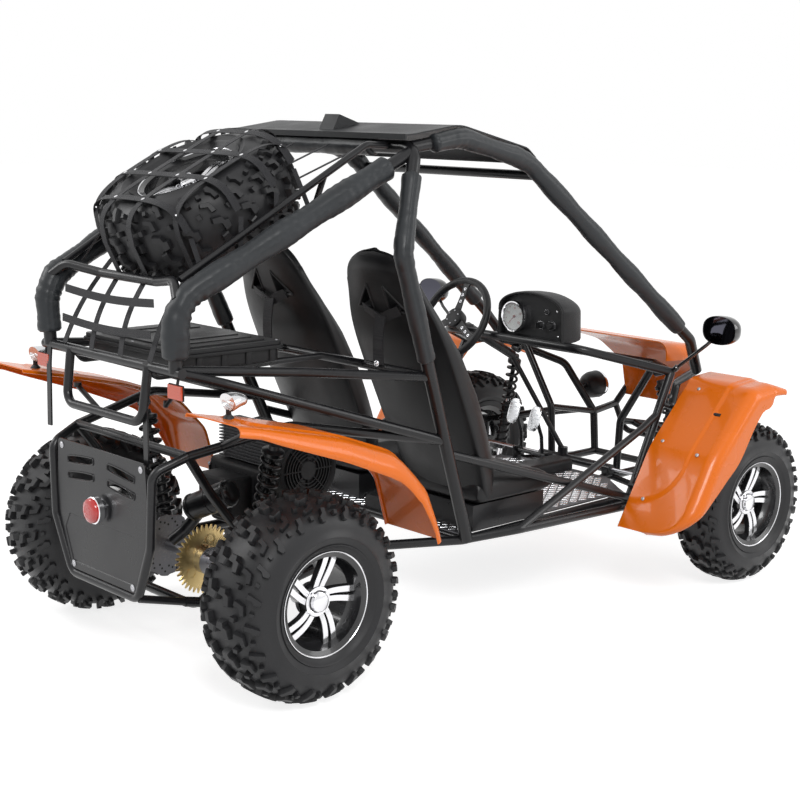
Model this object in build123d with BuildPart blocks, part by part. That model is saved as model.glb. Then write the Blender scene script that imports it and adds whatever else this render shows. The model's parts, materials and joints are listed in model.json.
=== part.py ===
from build123d import *
import os
from math import cos, radians, sin, sqrt

# Two-seat off-road buggy: welded tube frame with a padded cage, live rear axle, steered front wheels.
# Millimetres. X runs forward, Y to the left, Z up from the ground. The origin is on the ground,
# midway between the tail lamp and the front bumper.

os.makedirs("parts", exist_ok=True)
SIDES = (1, -1)

# Driving dimensions
WHEELBASE = 1762
REAR_TRACK = 1004
FRONT_TRACK = 1242
REAR_REACH = 330
FRONT_REACH = 390
REAR_TYRE_R = 279
REAR_TYRE_W = 250
FRONT_TYRE_R = 266
FRONT_TYRE_W = 180
RIM_R = 140
RIM_WALL = 5

# Tube and pad diameters
MAIN_TUBE = 38
RAIL_TUBE = 36
BAR_TUBE = 28
GUARD_TUBE = 25
RACK_TUBE = 19
PAD = 62
STAY_PAD = 76
PAD_FIT = 0.3
SHEET = 4
RUNNING = 0.05
SEAT_GAP = 0.3

REAR_X = -(WHEELBASE + FRONT_REACH - REAR_REACH) / 2
FRONT_X = REAR_X + WHEELBASE

# Widths that follow the tracks: front posts, kingpins and both pairs of fenders
SIDE_Y = FRONT_TRACK / 2 - 146
KINGPIN_Y = FRONT_TRACK / 2 - 73
FRONT_FENDER_IN = FRONT_TRACK / 2 - 121
FRONT_FENDER_OUT = FRONT_TRACK / 2 + 144
REAR_FENDER_IN = REAR_TRACK / 2 - 102
REAR_FENDER_OUT = REAR_TRACK / 2 + 130


def at(x, y, z):
    """A point whose x is measured from the rear axle."""
    return (REAR_X + x, y, z)


def ahead(x, y, z):
    """A point whose x is measured from the front axle."""
    return (FRONT_X + x, y, z)


def mirrored(points, side):
    """The points of the left side, or their mirror images for the right side."""
    return [(x, side * y, z) for x, y, z in points]


def between(a, b, share):
    """The point at a share of the way from a to b."""
    return tuple(p + share * (q - p) for p, q in zip(a, b))


def at_height(a, b, z):
    """The point at height z on the line through a and b."""
    return between(a, b, (z - a[2]) / (b[2] - a[2]))


def tube(points, outside, bend=60, bore=0):
    """A round tube along points, each corner bent to the radius bend, hollow if it has a bore."""
    with BuildLine():
        if len(points) == 2:
            run = Line(*points)
        else:
            run = FilletPolyline(*points, radius=bend)
    with BuildSketch(Plane(origin=run @ 0, z_dir=run % 0)) as section:
        Circle(outside / 2)
        if bore:
            Circle(bore / 2, mode=Mode.SUBTRACT)
    sweep(section.sketch, path=run)


def block(low, high):
    """A box between two corners."""
    size = [h - l for l, h in zip(low, high)]
    with Locations(tuple((l + h) / 2 for l, h in zip(low, high))):
        Box(*size)


def rod(a, b, diameter):
    """A straight round bar from a to b."""
    tube([a, b], diameter)


def cope(*others):
    """Cuts the shape of finished neighbours out of the open part, so that it meets them face to face."""
    for other in others:
        add(other.part, mode=Mode.SUBTRACT)


def finish(piece, label):
    piece.part.label = label
    export_step(piece.part, f"parts/{label}.step")


# Side line of the front fender behind the wheel, and the sloping top of the rear fender
FENDER_RUNS = [[(FRONT_X - 482, 240), (FRONT_X - 335, 480)], [(FRONT_X - 335, 480), (FRONT_X - 130, 690)]]
REAR_FENDER_TAIL = (-286, 790)
REAR_FENDER_BEND = (300, 612)
REAR_SLOPE = (REAR_FENDER_TAIL[1] - REAR_FENDER_BEND[1]) / (REAR_FENDER_BEND[0] - REAR_FENDER_TAIL[0])


def fender_top(x):
    """Height of the rear fender's upper skin at x from the rear axle."""
    return REAR_FENDER_TAIL[1] - REAR_SLOPE * (x - REAR_FENDER_TAIL[0])


def fender_under(x):
    """Height of the rear fender's lower skin at x from the rear axle."""
    return fender_top(x) - SHEET * sqrt(1 + REAR_SLOPE ** 2)


# Cage points, left side
HOOP_FOOT = at(706, 404, 280)
HOOP_SHOULDER = at(348, 497, 1150)
HOOP_TOP = at(478, 400, 1425)
HOOP_BEND = 60
STAY_BASE = at(-250, 306, 868)
STAY_BEND = at(-255, 315, 1045)
STAY_TOP = at(462, 394, 1410)
ROOF_RISE = at(650, 400, 1452)
ROOF_FALL = at(930, 395, 1385)
PILLAR_KNEE = ahead(-102, SIDE_Y - 5, 795)
PILLAR_FOOT = ahead(-17, SIDE_Y - 35, 680)
POST_FOOT = ahead(-402, SIDE_Y, 285)
POST_HEAD = ahead(-194, SIDE_Y - 5, 697)
SILL_NODE = at(850, SIDE_Y + 5, 300)
BELT_JOINT = at_height(HOOP_FOOT, HOOP_SHOULDER, 600)
UPPER_JOINT = at_height(HOOP_FOOT, HOOP_SHOULDER, 797)

# Main hoop: two raked pillars joined by a crossbar under the roof
with BuildPart() as main_hoop:
    right_side = mirrored([HOOP_FOOT, HOOP_SHOULDER, HOOP_TOP], -1)
    tube([HOOP_FOOT, HOOP_SHOULDER, HOOP_TOP] + right_side[::-1], MAIN_TUBE, HOOP_BEND)
finish(main_hoop, "main_hoop")

# Roof rails running down into the windscreen pillars, with a header tube between them
HEADER = between(ROOF_FALL, PILLAR_KNEE, 0.08)
with BuildPart() as roof_rails:
    for side in SIDES:
        rail = [(HOOP_TOP[0], HOOP_TOP[1] - 18, HOOP_TOP[2]), ROOF_RISE, ROOF_FALL, PILLAR_KNEE, PILLAR_FOOT]
        tube(mirrored(rail, side), RAIL_TUBE, [150, 250, 60])
    tube([HEADER, mirrored([HEADER], -1)[0]], BAR_TUBE)
    cope(main_hoop)
finish(roof_rails, "roof_rails")

# Rear stays from the hoop down to the crossbar at the tail
with BuildPart() as rear_stays:
    for side in SIDES:
        tube(mirrored([STAY_BASE, STAY_BEND, STAY_TOP], side), RAIL_TUBE, 110)
    tube([at(-250, 335, 868), at(-250, -335, 868)], BAR_TUBE)
    cope(main_hoop)
finish(rear_stays, "rear_stays")

# Belt rails: two tubes on each side from the tail crossbar to the hoop
with BuildPart() as belt_rails:
    for side in SIDES:
        tube(mirrored([at(-250, 312, 867), at(-130, 345, 832), BELT_JOINT], side), BAR_TUBE, 120)
        tube(mirrored([at(-246, 300, 872), at(110, 350, 837), UPPER_JOINT], side), BAR_TUBE - 2, 200)
    cope(rear_stays, main_hoop)
finish(belt_rails, "belt_rails")

# Dash bar between the front posts
DASH_CORNER = ahead(-462, 300, 778)
with BuildPart() as dash_bar:
    left = [POST_HEAD, DASH_CORNER]
    tube(left + mirrored(left, -1)[::-1], BAR_TUBE, 80)
    cope(roof_rails)
finish(dash_bar, "dash_bar")

# Floor frame: rails under the floor, running on to the front and the tail
FLOOR_Z = 274
FLOOR_BACK = at(706, 392, FLOOR_Z)
FLOOR_MID = at(1060, 389, FLOOR_Z)
FLOOR_FRONT = ahead(-292, 380, FLOOR_Z)
NOSE_RAIL = ahead(-150, 150, FLOOR_Z)
NOSE_END = ahead(180, 150, FLOOR_Z)
CRADLE_RAIL = at(420, 250, FLOOR_Z)
TAIL_LOW = at(-282, 164, 243)
with BuildPart() as floor_frame:
    for side in SIDES:
        tail = [at(0, 235, 190), at(-150, 190, 215)]
        rail = [NOSE_END, NOSE_RAIL, FLOOR_FRONT, FLOOR_BACK, CRADLE_RAIL] + tail
        tube(mirrored(rail, side), BAR_TUBE, 50)
    for point in (FLOOR_BACK, FLOOR_MID, FLOOR_FRONT, NOSE_END, CRADLE_RAIL, at(-150, 190, 215)):
        tube([point, mirrored([point], -1)[0]], BAR_TUBE - 2)
    cope(main_hoop)
finish(floor_frame, "floor_frame")

# Side frames: sill, front post, crossed door bars and the short links to the hoop
BAR_HEAD = between(POST_FOOT, POST_HEAD, 0.68)
FENDER_STAY = 16
STAY_CLEAR = FENDER_STAY / 2 + SHEET + SEAT_GAP
FENDER_STAYS = []
for root, fender_run, share in ((ahead(-358, SIDE_Y - 2, 373), FENDER_RUNS[0], 0.5),
                                (ahead(-243, SIDE_Y - 4, 600), FENDER_RUNS[1], 0.55)):
    (x0, z0), (x1, z1) = fender_run
    run = sqrt((x1 - x0) ** 2 + (z1 - z0) ** 2)
    x = x0 + share * (x1 - x0) + STAY_CLEAR * (z1 - z0) / run
    z = z0 + share * (z1 - z0) - STAY_CLEAR * (x1 - x0) / run
    FENDER_STAYS.append((root, (x, FRONT_FENDER_IN - 12, z)))
side_frames = {}
for side, name in zip(SIDES, ("left", "right")):
    with BuildPart() as side_frame:
        tube(mirrored([HOOP_FOOT, SILL_NODE, POST_FOOT], side), BAR_TUBE, 60)
        tube(mirrored([POST_FOOT, POST_HEAD], side), BAR_TUBE)
        belt_bar = [at_height(HOOP_FOOT, HOOP_SHOULDER, 560), between(POST_FOOT, POST_HEAD, 0.06)]
        tube(mirrored(belt_bar, side), BAR_TUBE - 2)
        tube(mirrored([SILL_NODE, ahead(-340, SIDE_Y + 3, 530), BAR_HEAD], side), BAR_TUBE - 4, 90)
        tube(mirrored([POST_FOOT, FLOOR_FRONT], side), BAR_TUBE - 2)
        for root, foot in FENDER_STAYS:
            rod(*mirrored([root, foot], side), FENDER_STAY)
            rod(*mirrored([foot, (foot[0], foot[1] + 200, foot[2])], side), FENDER_STAY)
            elbow = [(foot[0], foot[1] + shift, foot[2]) for shift in (-FENDER_STAY / 2, FENDER_STAY / 2)]
            rod(*mirrored(elbow, side), FENDER_STAY)
        cope(main_hoop, floor_frame, dash_bar, roof_rails)
    finish(side_frame, f"side_frame_{name}")
    side_frames[name] = side_frame

# Front frame: bulkhead, upper rails, shock towers and bumper
TOWER = ahead(-60, 300, 690)
with BuildPart() as front_frame:
    for side in SIDES:
        rail = [PILLAR_FOOT, ahead(120, 260, 600), ahead(190, 170, 420), NOSE_END]
        tube(mirrored(rail, side), BAR_TUBE, 60)
        tube(mirrored([POST_HEAD, TOWER], side), BAR_TUBE - 4)
        tube(mirrored([TOWER, ahead(-60, 160, 470), ahead(-60, 150, 262)], side), BAR_TUBE - 2, 60)
        tube(mirrored([ahead(190, 170, 420), ahead(340, 190, 430)], side), BAR_TUBE - 2)
        tube(mirrored([ahead(-60, 160, 470), ahead(190, 170, 420)], side), BAR_TUBE - 6)
    tube([TOWER, mirrored([TOWER], -1)[0]], BAR_TUBE - 2)
    bumper = [ahead(340, 190, 430), ahead(FRONT_REACH - GUARD_TUBE / 2, 150, 520)]
    tube(bumper + mirrored(bumper, -1)[::-1], GUARD_TUBE, 50)
    low_bar = [ahead(340, 190, 430), ahead(350, 150, 330)]
    tube(low_bar + mirrored(low_bar, -1)[::-1], GUARD_TUBE - 2, 50)
    cope(floor_frame, roof_rails, dash_bar, *side_frames.values())
finish(front_frame, "front_frame")

# Rear frame: engine cradle, guard hoop at the tail and the bar below the crossbar
CRADLE_NODE = at(-192, 270, 636)
# Pegs under each rear fender: x, y, depth of the arm and of the peg under the skin, arm and peg diameters
FENDER_PEGS = [(-100, REAR_FENDER_IN + 20, at(-100, 289, 653), 14, 18, 3.95, 16, 24),
               (200, REAR_FENDER_IN + 8, at(200, 352, 670), 20, 24, 2.8, 14, 16)]
with BuildPart() as rear_frame:
    for side in SIDES:
        tube(mirrored([BELT_JOINT, at(100, 330, 690), CRADLE_NODE], side), BAR_TUBE - 2, 90)
        leg = [CRADLE_NODE, at(-110, 255, 520), at(-30, 250, 420), at(20, 245, 330)]
        tube(mirrored(leg, side), BAR_TUBE - 2, 50)
    tube([CRADLE_NODE, mirrored([CRADLE_NODE], -1)[0]], BAR_TUBE - 4)
    hoop = [CRADLE_NODE, at(-286, 246, 600), at(-288, 236, 400), TAIL_LOW]
    tube(hoop + mirrored(hoop, -1)[::-1], GUARD_TUBE, 40)
    drop = [at(-256, 190, 868), at(-275, 186, 722)]
    tube(drop + mirrored(drop, -1)[::-1], GUARD_TUBE, 40)
    for side in SIDES:
        rod(*mirrored([at(-150, 190, 215), at(-283, 170, 246)], side), GUARD_TUBE - 3)
        for x, y, root, arm_low, low, high, arm, peg in FENDER_PEGS:
            rod(*mirrored([root, at(x, y, fender_under(x) - arm_low)], side), arm)
            rod(*mirrored([at(x, y, fender_under(x) - low), at(x, y, fender_under(x) - high)], side), peg)
    cope(main_hoop, belt_rails, rear_stays, floor_frame)
finish(rear_frame, "rear_frame")

# Spare wheel rack: two thin rails above the stays, a bowed bar at the tail and a cross rail
RACK_LOW = at(-215, 280, 1098)
RACK_KNEE = at(385, 306, 1432)
SPARE_TILT = 27
SPARE_CENTRE = at(47, 0, 1261)
with BuildPart() as spare_rack:
    for side in SIDES:
        tube(mirrored([RACK_LOW, RACK_KNEE, at(470, 306, 1428)], side), RACK_TUBE, 40)
    bow = [at(-251, 316, 1053), at(-222, 262, 1096), at(-186, 130, 1078)]
    tube(bow + mirrored(bow, -1)[::-1], RACK_TUBE + 6, 60)
    cradle_bar = [between(RACK_LOW, RACK_KNEE, 0.76), at(241, 230, 1209.6)]
    tube(cradle_bar + mirrored(cradle_bar, -1)[::-1], RACK_TUBE - 2, 40)
    cope(rear_stays, main_hoop)
finish(spare_rack, "spare_rack")

# Padded sleeves laced round the cage tubes
PAD_START = at_height(HOOP_FOOT, HOOP_SHOULDER, 845)
with BuildPart() as hoop_pads:
    for side in SIDES:
        legs = [PAD_START, HOOP_SHOULDER, between(HOOP_SHOULDER, HOOP_TOP, 0.74)]
        tube(mirrored(legs, side), PAD - 4, HOOP_BEND, MAIN_TUBE + PAD_FIT)
    tube([(HOOP_TOP[0], 235, HOOP_TOP[2]), (HOOP_TOP[0], -235, HOOP_TOP[2])], PAD, 0, MAIN_TUBE + PAD_FIT)
finish(hoop_pads, "hoop_pads")

with BuildPart() as pillar_pads:
    for side in SIDES:
        start = between((HOOP_TOP[0], 400, HOOP_TOP[2]), ROOF_RISE, 0.38)
        end = between(ROOF_FALL, PILLAR_KNEE, 0.93)
        tube(mirrored([start, ROOF_RISE, ROOF_FALL, end], side), PAD, [150, 250], RAIL_TUBE + 3)
    cope(roof_rails)
finish(pillar_pads, "pillar_pads")

with BuildPart() as stay_pads:
    for side in SIDES:
        start = between(STAY_BASE, STAY_BEND, 0.2)
        end = between(STAY_BEND, STAY_TOP, 0.9)
        tube(mirrored([start, STAY_BEND, end], side), STAY_PAD, 110, RAIL_TUBE + 3)
    cope(rear_stays, spare_rack)
finish(stay_pads, "stay_pads")


def inset(line, amount):
    """The open line of (x, z) points moved by amount to its right as it runs, with sharp corners."""
    normals = []
    for (x0, z0), (x1, z1) in zip(line, line[1:]):
        run = sqrt((x1 - x0) ** 2 + (z1 - z0) ** 2)
        normals.append(((z1 - z0) / run, -(x1 - x0) / run))
    moved = []
    for i, (x, z) in enumerate(line):
        a = normals[max(i - 1, 0)]
        b = normals[min(i, len(normals) - 1)]
        share = amount / (1 + a[0] * b[0] + a[1] * b[1])
        moved.append((x + share * (a[0] + b[0]), z + share * (a[1] + b[1])))
    return moved


def side_region(line, bends, base):
    """The region between a line of (x, z) points and the level base, drawn in the open sketch."""
    with BuildLine() as border:
        FilletPolyline(*line, radius=bends)
        Polyline(line[-1], (line[-1][0], base), (line[0][0], base), line[0])
    make_face(border.edges())


def moulding(line, bends, base, y_low, y_high, wall, shoulder, cut, open_low):
    """A moulded shell under a side line: rounded at its shoulders, open below, its lower edge cut to cut."""
    def crown(line, bends, base, low, high, shoulder, round_low):
        region = Plane((0, low, 0), x_dir=(1, 0, 0), z_dir=(0, -1, 0))
        with BuildPart() as body:
            with BuildSketch(region):
                side_region(line, bends, base)
            extrude(amount=low - high)
            walls = body.faces().filter_by(Axis.Y).sort_by(Axis.Y)
            ends = [walls[-1]] + ([walls[0]] if round_low else [])
            edges = [e for wall_face in ends for e in wall_face.edges()
                     if max(v.Z for v in e.vertices()) > base + 1
                     and abs(e.bounding_box().size.X) > 0.5]
            fillet(edges, shoulder)
        return body
    outer = crown(line, bends, base, y_low, y_high, shoulder, not open_low)
    inner_low = y_low - 10 if open_low else y_low + wall
    inner_bends = [bend - wall for bend in bends]
    inner = crown(inset(line, wall), inner_bends, base - 5, inner_low, y_high - wall, shoulder - wall,
                  not open_low)
    with BuildPart() as shell:
        add(outer.part)
        add(inner.part, mode=Mode.SUBTRACT)
        with BuildSketch(Plane((0, y_low - 20, 0), x_dir=(1, 0, 0), z_dir=(0, -1, 0))):
            Polygon(*cut, align=None)
        extrude(amount=-(y_high - y_low + 40), mode=Mode.SUBTRACT)
    return shell


# Rear fenders: a sloping strip over the tyre that turns down ahead of it
rear_line = [(REAR_X + x, z) for x, z in (REAR_FENDER_TAIL, REAR_FENDER_BEND, (412, 470), (418, 300))]
rear_cut = [(REAR_X + x, z) for x, z in ((-320, 250), (-320, 772), (-176, 727), (45, 650), (178, 596),
                                         (253, 557), (325, 490), (366, 428), (382, 340), (395, 250))]
front_line = [*FENDER_RUNS[0], FENDER_RUNS[1][1], (FRONT_X - 30, 698), (FRONT_X + 195, 612)]
front_cut = [(FRONT_X - 480, 150), (FRONT_X - 440, 262), (FRONT_X - 330, 350), (FRONT_X - 206, 447),
             (FRONT_X - 137, 550), (FRONT_X - 90, 602), (FRONT_X + 60, 610), (FRONT_X + 230, 575),
             (FRONT_X + 230, 150)]
rear_shell = moulding(rear_line, [120, 60], 260, REAR_FENDER_IN, REAR_FENDER_OUT, SHEET, 30, rear_cut, True)
front_shell = moulding(front_line, [300, 60, 60], 200, FRONT_FENDER_IN, FRONT_FENDER_OUT, SHEET, 45,
                       front_cut, True)
for shell, stem in ((rear_shell, "rear_fender"), (front_shell, "front_fender")):
    with BuildPart() as left_fender:
        add(shell.part)
    finish(left_fender, f"{stem}_left")
    with BuildPart() as right_fender:
        add(mirror(shell.part, about=Plane.XZ, mode=Mode.PRIVATE))
    finish(right_fender, f"{stem}_right")

# Nose cowl over the front frame
cowl_line = [(FRONT_X + x, z) for x, z in ((-108, 775), (60, 752), (250, 690), (345, 600), (365, 465))]
cowl_cut = [(FRONT_X + x, z) for x, z in ((-150, 380), (-150, 715), (20, 705), (130, 655), (215, 610),
                                          (290, 470), (400, 466), (400, 380))]
COWL_PLAN = [(-110, 390), (20, 390), (190, 235), (380, 150)]
cowl_shell = moulding(cowl_line, [200, 120, 60], 440, -385, 385, SHEET, 40, cowl_cut, False)
with BuildPart() as nose_cowl:
    add(cowl_shell.part)
    with BuildSketch(Plane.XY.offset(380)):
        left = [(FRONT_X + x, y) for x, y in COWL_PLAN]
        Polygon(*left, *[(x, -y) for x, y in left[::-1]], align=None)
    extrude(amount=420, mode=Mode.INTERSECT)
    cope(front_frame, roof_rails)
finish(nose_cowl, "nose_cowl")

# Roof panel laid on the padded rails, with its scoop
ROOF_LIFT = PAD / 2 + 1.5
roof_line = [(REAR_X + x, z) for x, z in ((445, 1425), (478, 1427), (650, 1452), (930, 1385), (990, 1338))]
with BuildPart() as roof_panel:
    under = [(x, z + ROOF_LIFT) for x, z in roof_line]
    over = [(x, z + ROOF_LIFT + SHEET) for x, z in roof_line]
    with BuildSketch(Plane.XZ):
        with BuildLine():
            FilletPolyline(*under, radius=[40, 150, 60])
            FilletPolyline(*over, radius=[40, 150, 60])
            Line(under[0], over[0])
            Line(under[-1], over[-1])
        make_face()
    extrude(amount=400, both=True)
    block((REAR_X + 441, -400, 1446), (REAR_X + 447, 400, 1462))
    with BuildSketch(Plane.XZ) as scoop_side:
        with BuildLine():
            Polyline((REAR_X + 492, 1458), (REAR_X + 520, 1510), (REAR_X + 600, 1484), (REAR_X + 492, 1458))
        make_face()
    extrude(amount=32, both=True)
    cope(pillar_pads, hoop_pads)
finish(roof_panel, "roof_panel")

# Floor: two tread plates and the tunnel between them
FLOOR_UNDER = FLOOR_Z + BAR_TUBE / 2 + SEAT_GAP
FLOOR_TOP = FLOOR_UNDER + SHEET
with BuildPart() as floor_panels:
    for side in SIDES:
        with BuildSketch(Plane.XY.offset(FLOOR_UNDER)):
            corners = ((REAR_X + 700, 48), (REAR_X + 700, 385), (FRONT_X - 292, 372),
                       (FRONT_X - 170, 200), (FRONT_X - 170, 48))
            Polygon(*[(x, side * y) for x, y in corners], align=None)
        extrude(amount=SHEET)
finish(floor_panels, "floor_panels")
with BuildPart() as tunnel:
    block((REAR_X + 705, -47.7, 262), (FRONT_X - 175, 47.7, 330))
    fillet(tunnel.edges().filter_by(Axis.X).group_by(Axis.Z)[-1], 15)
    cope(floor_frame)
finish(tunnel, "tunnel")

# Guard plate at the tail: stepped recess and four slanted slots
GUARD_X = -284
with BuildPart() as guard_plate:
    with BuildSketch(Plane.YZ.offset(REAR_X + GUARD_X)) as plate_face:
        Polygon((-215, 620), (215, 620), (230, 410), (168, 258), (-168, 258), (-230, 410), align=None)
    extrude(amount=-SHEET)
    fillet(guard_plate.edges().filter_by(Axis.X), 12)
    with BuildSketch(Plane.YZ.offset(REAR_X + GUARD_X)):
        for y in (-100, 100):
            for z in (575, 530):
                with Locations((y, z)):
                    SlotOverall(130, 20, rotation=-6 if y > 0 else 6)
    extrude(amount=-SHEET, mode=Mode.SUBTRACT)
    with BuildSketch(Plane.YZ.offset(REAR_X + GUARD_X - SHEET)):
        Polygon((-165, 414), (165, 414), (190, 370), (152, 278), (-152, 278), (-190, 370), align=None)
    extrude(amount=SHEET / 2, taper=45, mode=Mode.SUBTRACT)
    cope(rear_frame)
finish(guard_plate, "guard_plate")

# Storage box on the rear deck, with its lid rim and two rails under it
with BuildPart() as storage_box:
    block((REAR_X - 185, -225, 848), (REAR_X + 150, 225, 892))
    block((REAR_X - 195, -235, 892), (REAR_X + 160, 235, 905))
    fillet(storage_box.edges().filter_by(Axis.Z), 14)
finish(storage_box, "storage_box")
with BuildPart() as deck_rails:
    for side in SIDES:
        rail = [at(-250, 180, 868), at(-225, 180, 838), at(330, 180, 838), at(495, 180, 800)]
        tube(mirrored(rail, side), RACK_TUBE, 25)
    tube([UPPER_JOINT, mirrored([UPPER_JOINT], -1)[0]], BAR_TUBE - 2)
    cope(rear_stays, main_hoop, belt_rails, storage_box, rear_frame)
finish(deck_rails, "deck_rails")

# Seats: upright moulded buckets with two harness holes
SEAT_Y = 257
SEAT_RAKE = 24
SEAT_FACING = (cos(radians(SEAT_RAKE)), 0, sin(radians(SEAT_RAKE)))


def seat_back(side):
    """Plane of a seat's back cushion: x to the left, y up the back."""
    return Plane(origin=at(789, side * SEAT_Y, 425), x_dir=(0, 1, 0), z_dir=SEAT_FACING)


for side, name in zip(SIDES, ("left", "right")):
    back = seat_back(side)
    with BuildPart() as seat:
        with BuildSketch(back) as outline:
            with BuildLine():
                Polyline((-160, 0), (-172, 330), (-125, 560), (-110, 680))
                ThreePointArc((-110, 680), (0, 770), (110, 680))
                Polyline((110, 680), (125, 560), (172, 330), (160, 0), (-160, 0))
            make_face()
        extrude(amount=-55)
        with BuildSketch(back) as bolster:
            with BuildLine():
                Polyline((-160, 0), (-172, 330), (-132, 515), (-105, 480), (-128, 330), (-120, 0), (-160, 0))
            make_face()
            mirror(about=Plane.YZ)
        extrude(amount=70)
        block((REAR_X + 735, side * SEAT_Y - 165, 372), (REAR_X + 1075, side * SEAT_Y + 165, 440))
        block((REAR_X + 790, side * SEAT_Y - 165, 440), (REAR_X + 1060, side * SEAT_Y - 125, 480))
        block((REAR_X + 790, side * SEAT_Y + 125, 440), (REAR_X + 1060, side * SEAT_Y + 165, 480))
        with BuildSketch(back):
            for hole in SIDES:
                Polygon((hole * 30, 540), (hole * 88, 540), (hole * 30, 610), align=None)
        extrude(amount=-60, mode=Mode.SUBTRACT)
    finish(seat, f"seat_{name}")

with BuildPart() as seat_boxes:
    for side in SIDES:
        low = (REAR_X + 740, side * SEAT_Y - 138, FLOOR_TOP + SEAT_GAP)
        block(low, (REAR_X + 1050, side * SEAT_Y + 138, 372 - SEAT_GAP))
finish(seat_boxes, "seat_boxes")

# Wheels: each is drawn round an axle line, its local x pointing outboard
RIM_SEAT = 127
RIM_WELL = 114
TYRE_FIT = 0.3


def wheel_plane(centre, side):
    """Plane through a wheel's axis: x outboard along the axle, y up."""
    return Plane(origin=centre, x_dir=(0, side, 0), z_dir=(side, 0, 0))


def tyre_solid(centre, side, radius, width, rim_half):
    """A closed balloon tyre from the bead seats out to the tips of its tread."""
    half = width / 2
    seat = rim_half - 12
    with BuildPart() as tyre:
        with BuildSketch(wheel_plane(centre, side)):
            with BuildLine() as border:
                Polyline((-seat, RIM_SEAT + TYRE_FIT), (seat, RIM_SEAT + TYRE_FIT), (seat + 6, RIM_R + 2))
                ThreePointArc((seat + 6, RIM_R + 2), (half, radius * 0.72), (half - 12, radius * 0.9))
                Polyline((half - 12, radius * 0.9), (half - 22, radius - 14))
                ThreePointArc((half - 22, radius - 14), (0, radius), (22 - half, radius - 14))
                Polyline((22 - half, radius - 14), (12 - half, radius * 0.9))
                ThreePointArc((12 - half, radius * 0.9), (-half, radius * 0.72), (-seat - 6, RIM_R + 2))
                Polyline((-seat - 6, RIM_R + 2), (-seat, RIM_SEAT + TYRE_FIT))
            make_face(border.edges())
        revolve(axis=Axis(centre, (0, 1, 0)))
    return tyre


def rim_solid(centre, side, rim_half, face, bore):
    """A cast rim: flanged barrel, hub and five pairs of spokes with their faces outboard of the centre."""
    spoke_depth = 22
    with BuildPart() as rim:
        with BuildSketch(wheel_plane(centre, side)):
            half = rim_half - 5
            inboard = [(-half, RIM_R), (6 - half, RIM_SEAT), (30 - half, RIM_SEAT), (44 - half, RIM_WELL)]
            outside = inboard + [(-x, r) for x, r in inboard[::-1]]
            Polygon(*outside, *inset(outside, RIM_WALL)[::-1], align=None)
        revolve(axis=Axis(centre, (0, 1, 0)))
        front = Vector(*centre) + Vector(0, side * face, 0)
        with BuildSketch(Plane(origin=front, x_dir=(1, 0, 0), z_dir=(0, side, 0))):
            Circle(44)
            with PolarLocations(0, 5):
                for offset in (-12, 12):
                    with Locations((72, offset)):
                        Rectangle(92, 13)
        extrude(amount=-spoke_depth)
        with BuildSketch(Plane(origin=front, x_dir=(1, 0, 0), z_dir=(0, side, 0))):
            Circle(26)
        extrude(amount=16)
        with BuildSketch(Plane(origin=front - Vector(0, side * 100, 0), x_dir=(1, 0, 0), z_dir=(0, side, 0))):
            Circle(bore)
        extrude(amount=100 - 4, mode=Mode.SUBTRACT)
    return rim


# Live rear axle with its hubs, sprocket and brake disc
AXLE_R = 15
REAR_CENTRE = (REAR_X, REAR_TRACK / 2, REAR_TYRE_R)
REAR_RIM_HALF = 108
REAR_FACE = 65
SPROCKET_Y = -70
DISC_Y = 110
with BuildPart() as rear_axle:
    hub_y = REAR_TRACK / 2 + REAR_FACE - 22 - 0.1
    tube([(REAR_X, -hub_y, REAR_TYRE_R), (REAR_X, hub_y, REAR_TYRE_R)], 2 * AXLE_R)
    for side in SIDES:
        rod((REAR_X, side * (hub_y - 14), REAR_TYRE_R), (REAR_X, side * hub_y, REAR_TYRE_R), 90)
        rod((REAR_X, side * (hub_y - 60), REAR_TYRE_R), (REAR_X, side * hub_y, REAR_TYRE_R), 50)
    rod((REAR_X, SPROCKET_Y - 30, REAR_TYRE_R), (REAR_X, SPROCKET_Y - 3.1, REAR_TYRE_R), 80)
    rod((REAR_X, DISC_Y + 2.1, REAR_TYRE_R), (REAR_X, DISC_Y + 26, REAR_TYRE_R), 70)
finish(rear_axle, "rear_axle")
with BuildPart() as sprocket:
    ends = [(REAR_X, SPROCKET_Y + shift, REAR_TYRE_R) for shift in (-3, 3)]
    tube(ends, 200, 0, 2 * AXLE_R + 0.2)
finish(sprocket, "sprocket")
with BuildPart() as brake_disc:
    ends = [(REAR_X, DISC_Y + shift, REAR_TYRE_R) for shift in (-2, 2)]
    tube(ends, 180, 0, 2 * AXLE_R + 0.2)
finish(brake_disc, "brake_disc")

with BuildPart() as rear_rims:
    for side in SIDES:
        centre = (REAR_X, side * REAR_TRACK / 2, REAR_TYRE_R)
        add(rim_solid(centre, side, REAR_RIM_HALF, REAR_FACE, 10).part)
finish(rear_rims, "rear_rims")
with BuildPart() as rear_tyres:
    for side in SIDES:
        centre = (REAR_X, side * REAR_TRACK / 2, REAR_TYRE_R)
        add(tyre_solid(centre, side, REAR_TYRE_R, REAR_TYRE_W, REAR_RIM_HALF).part)
finish(rear_tyres, "rear_tyres")

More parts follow.
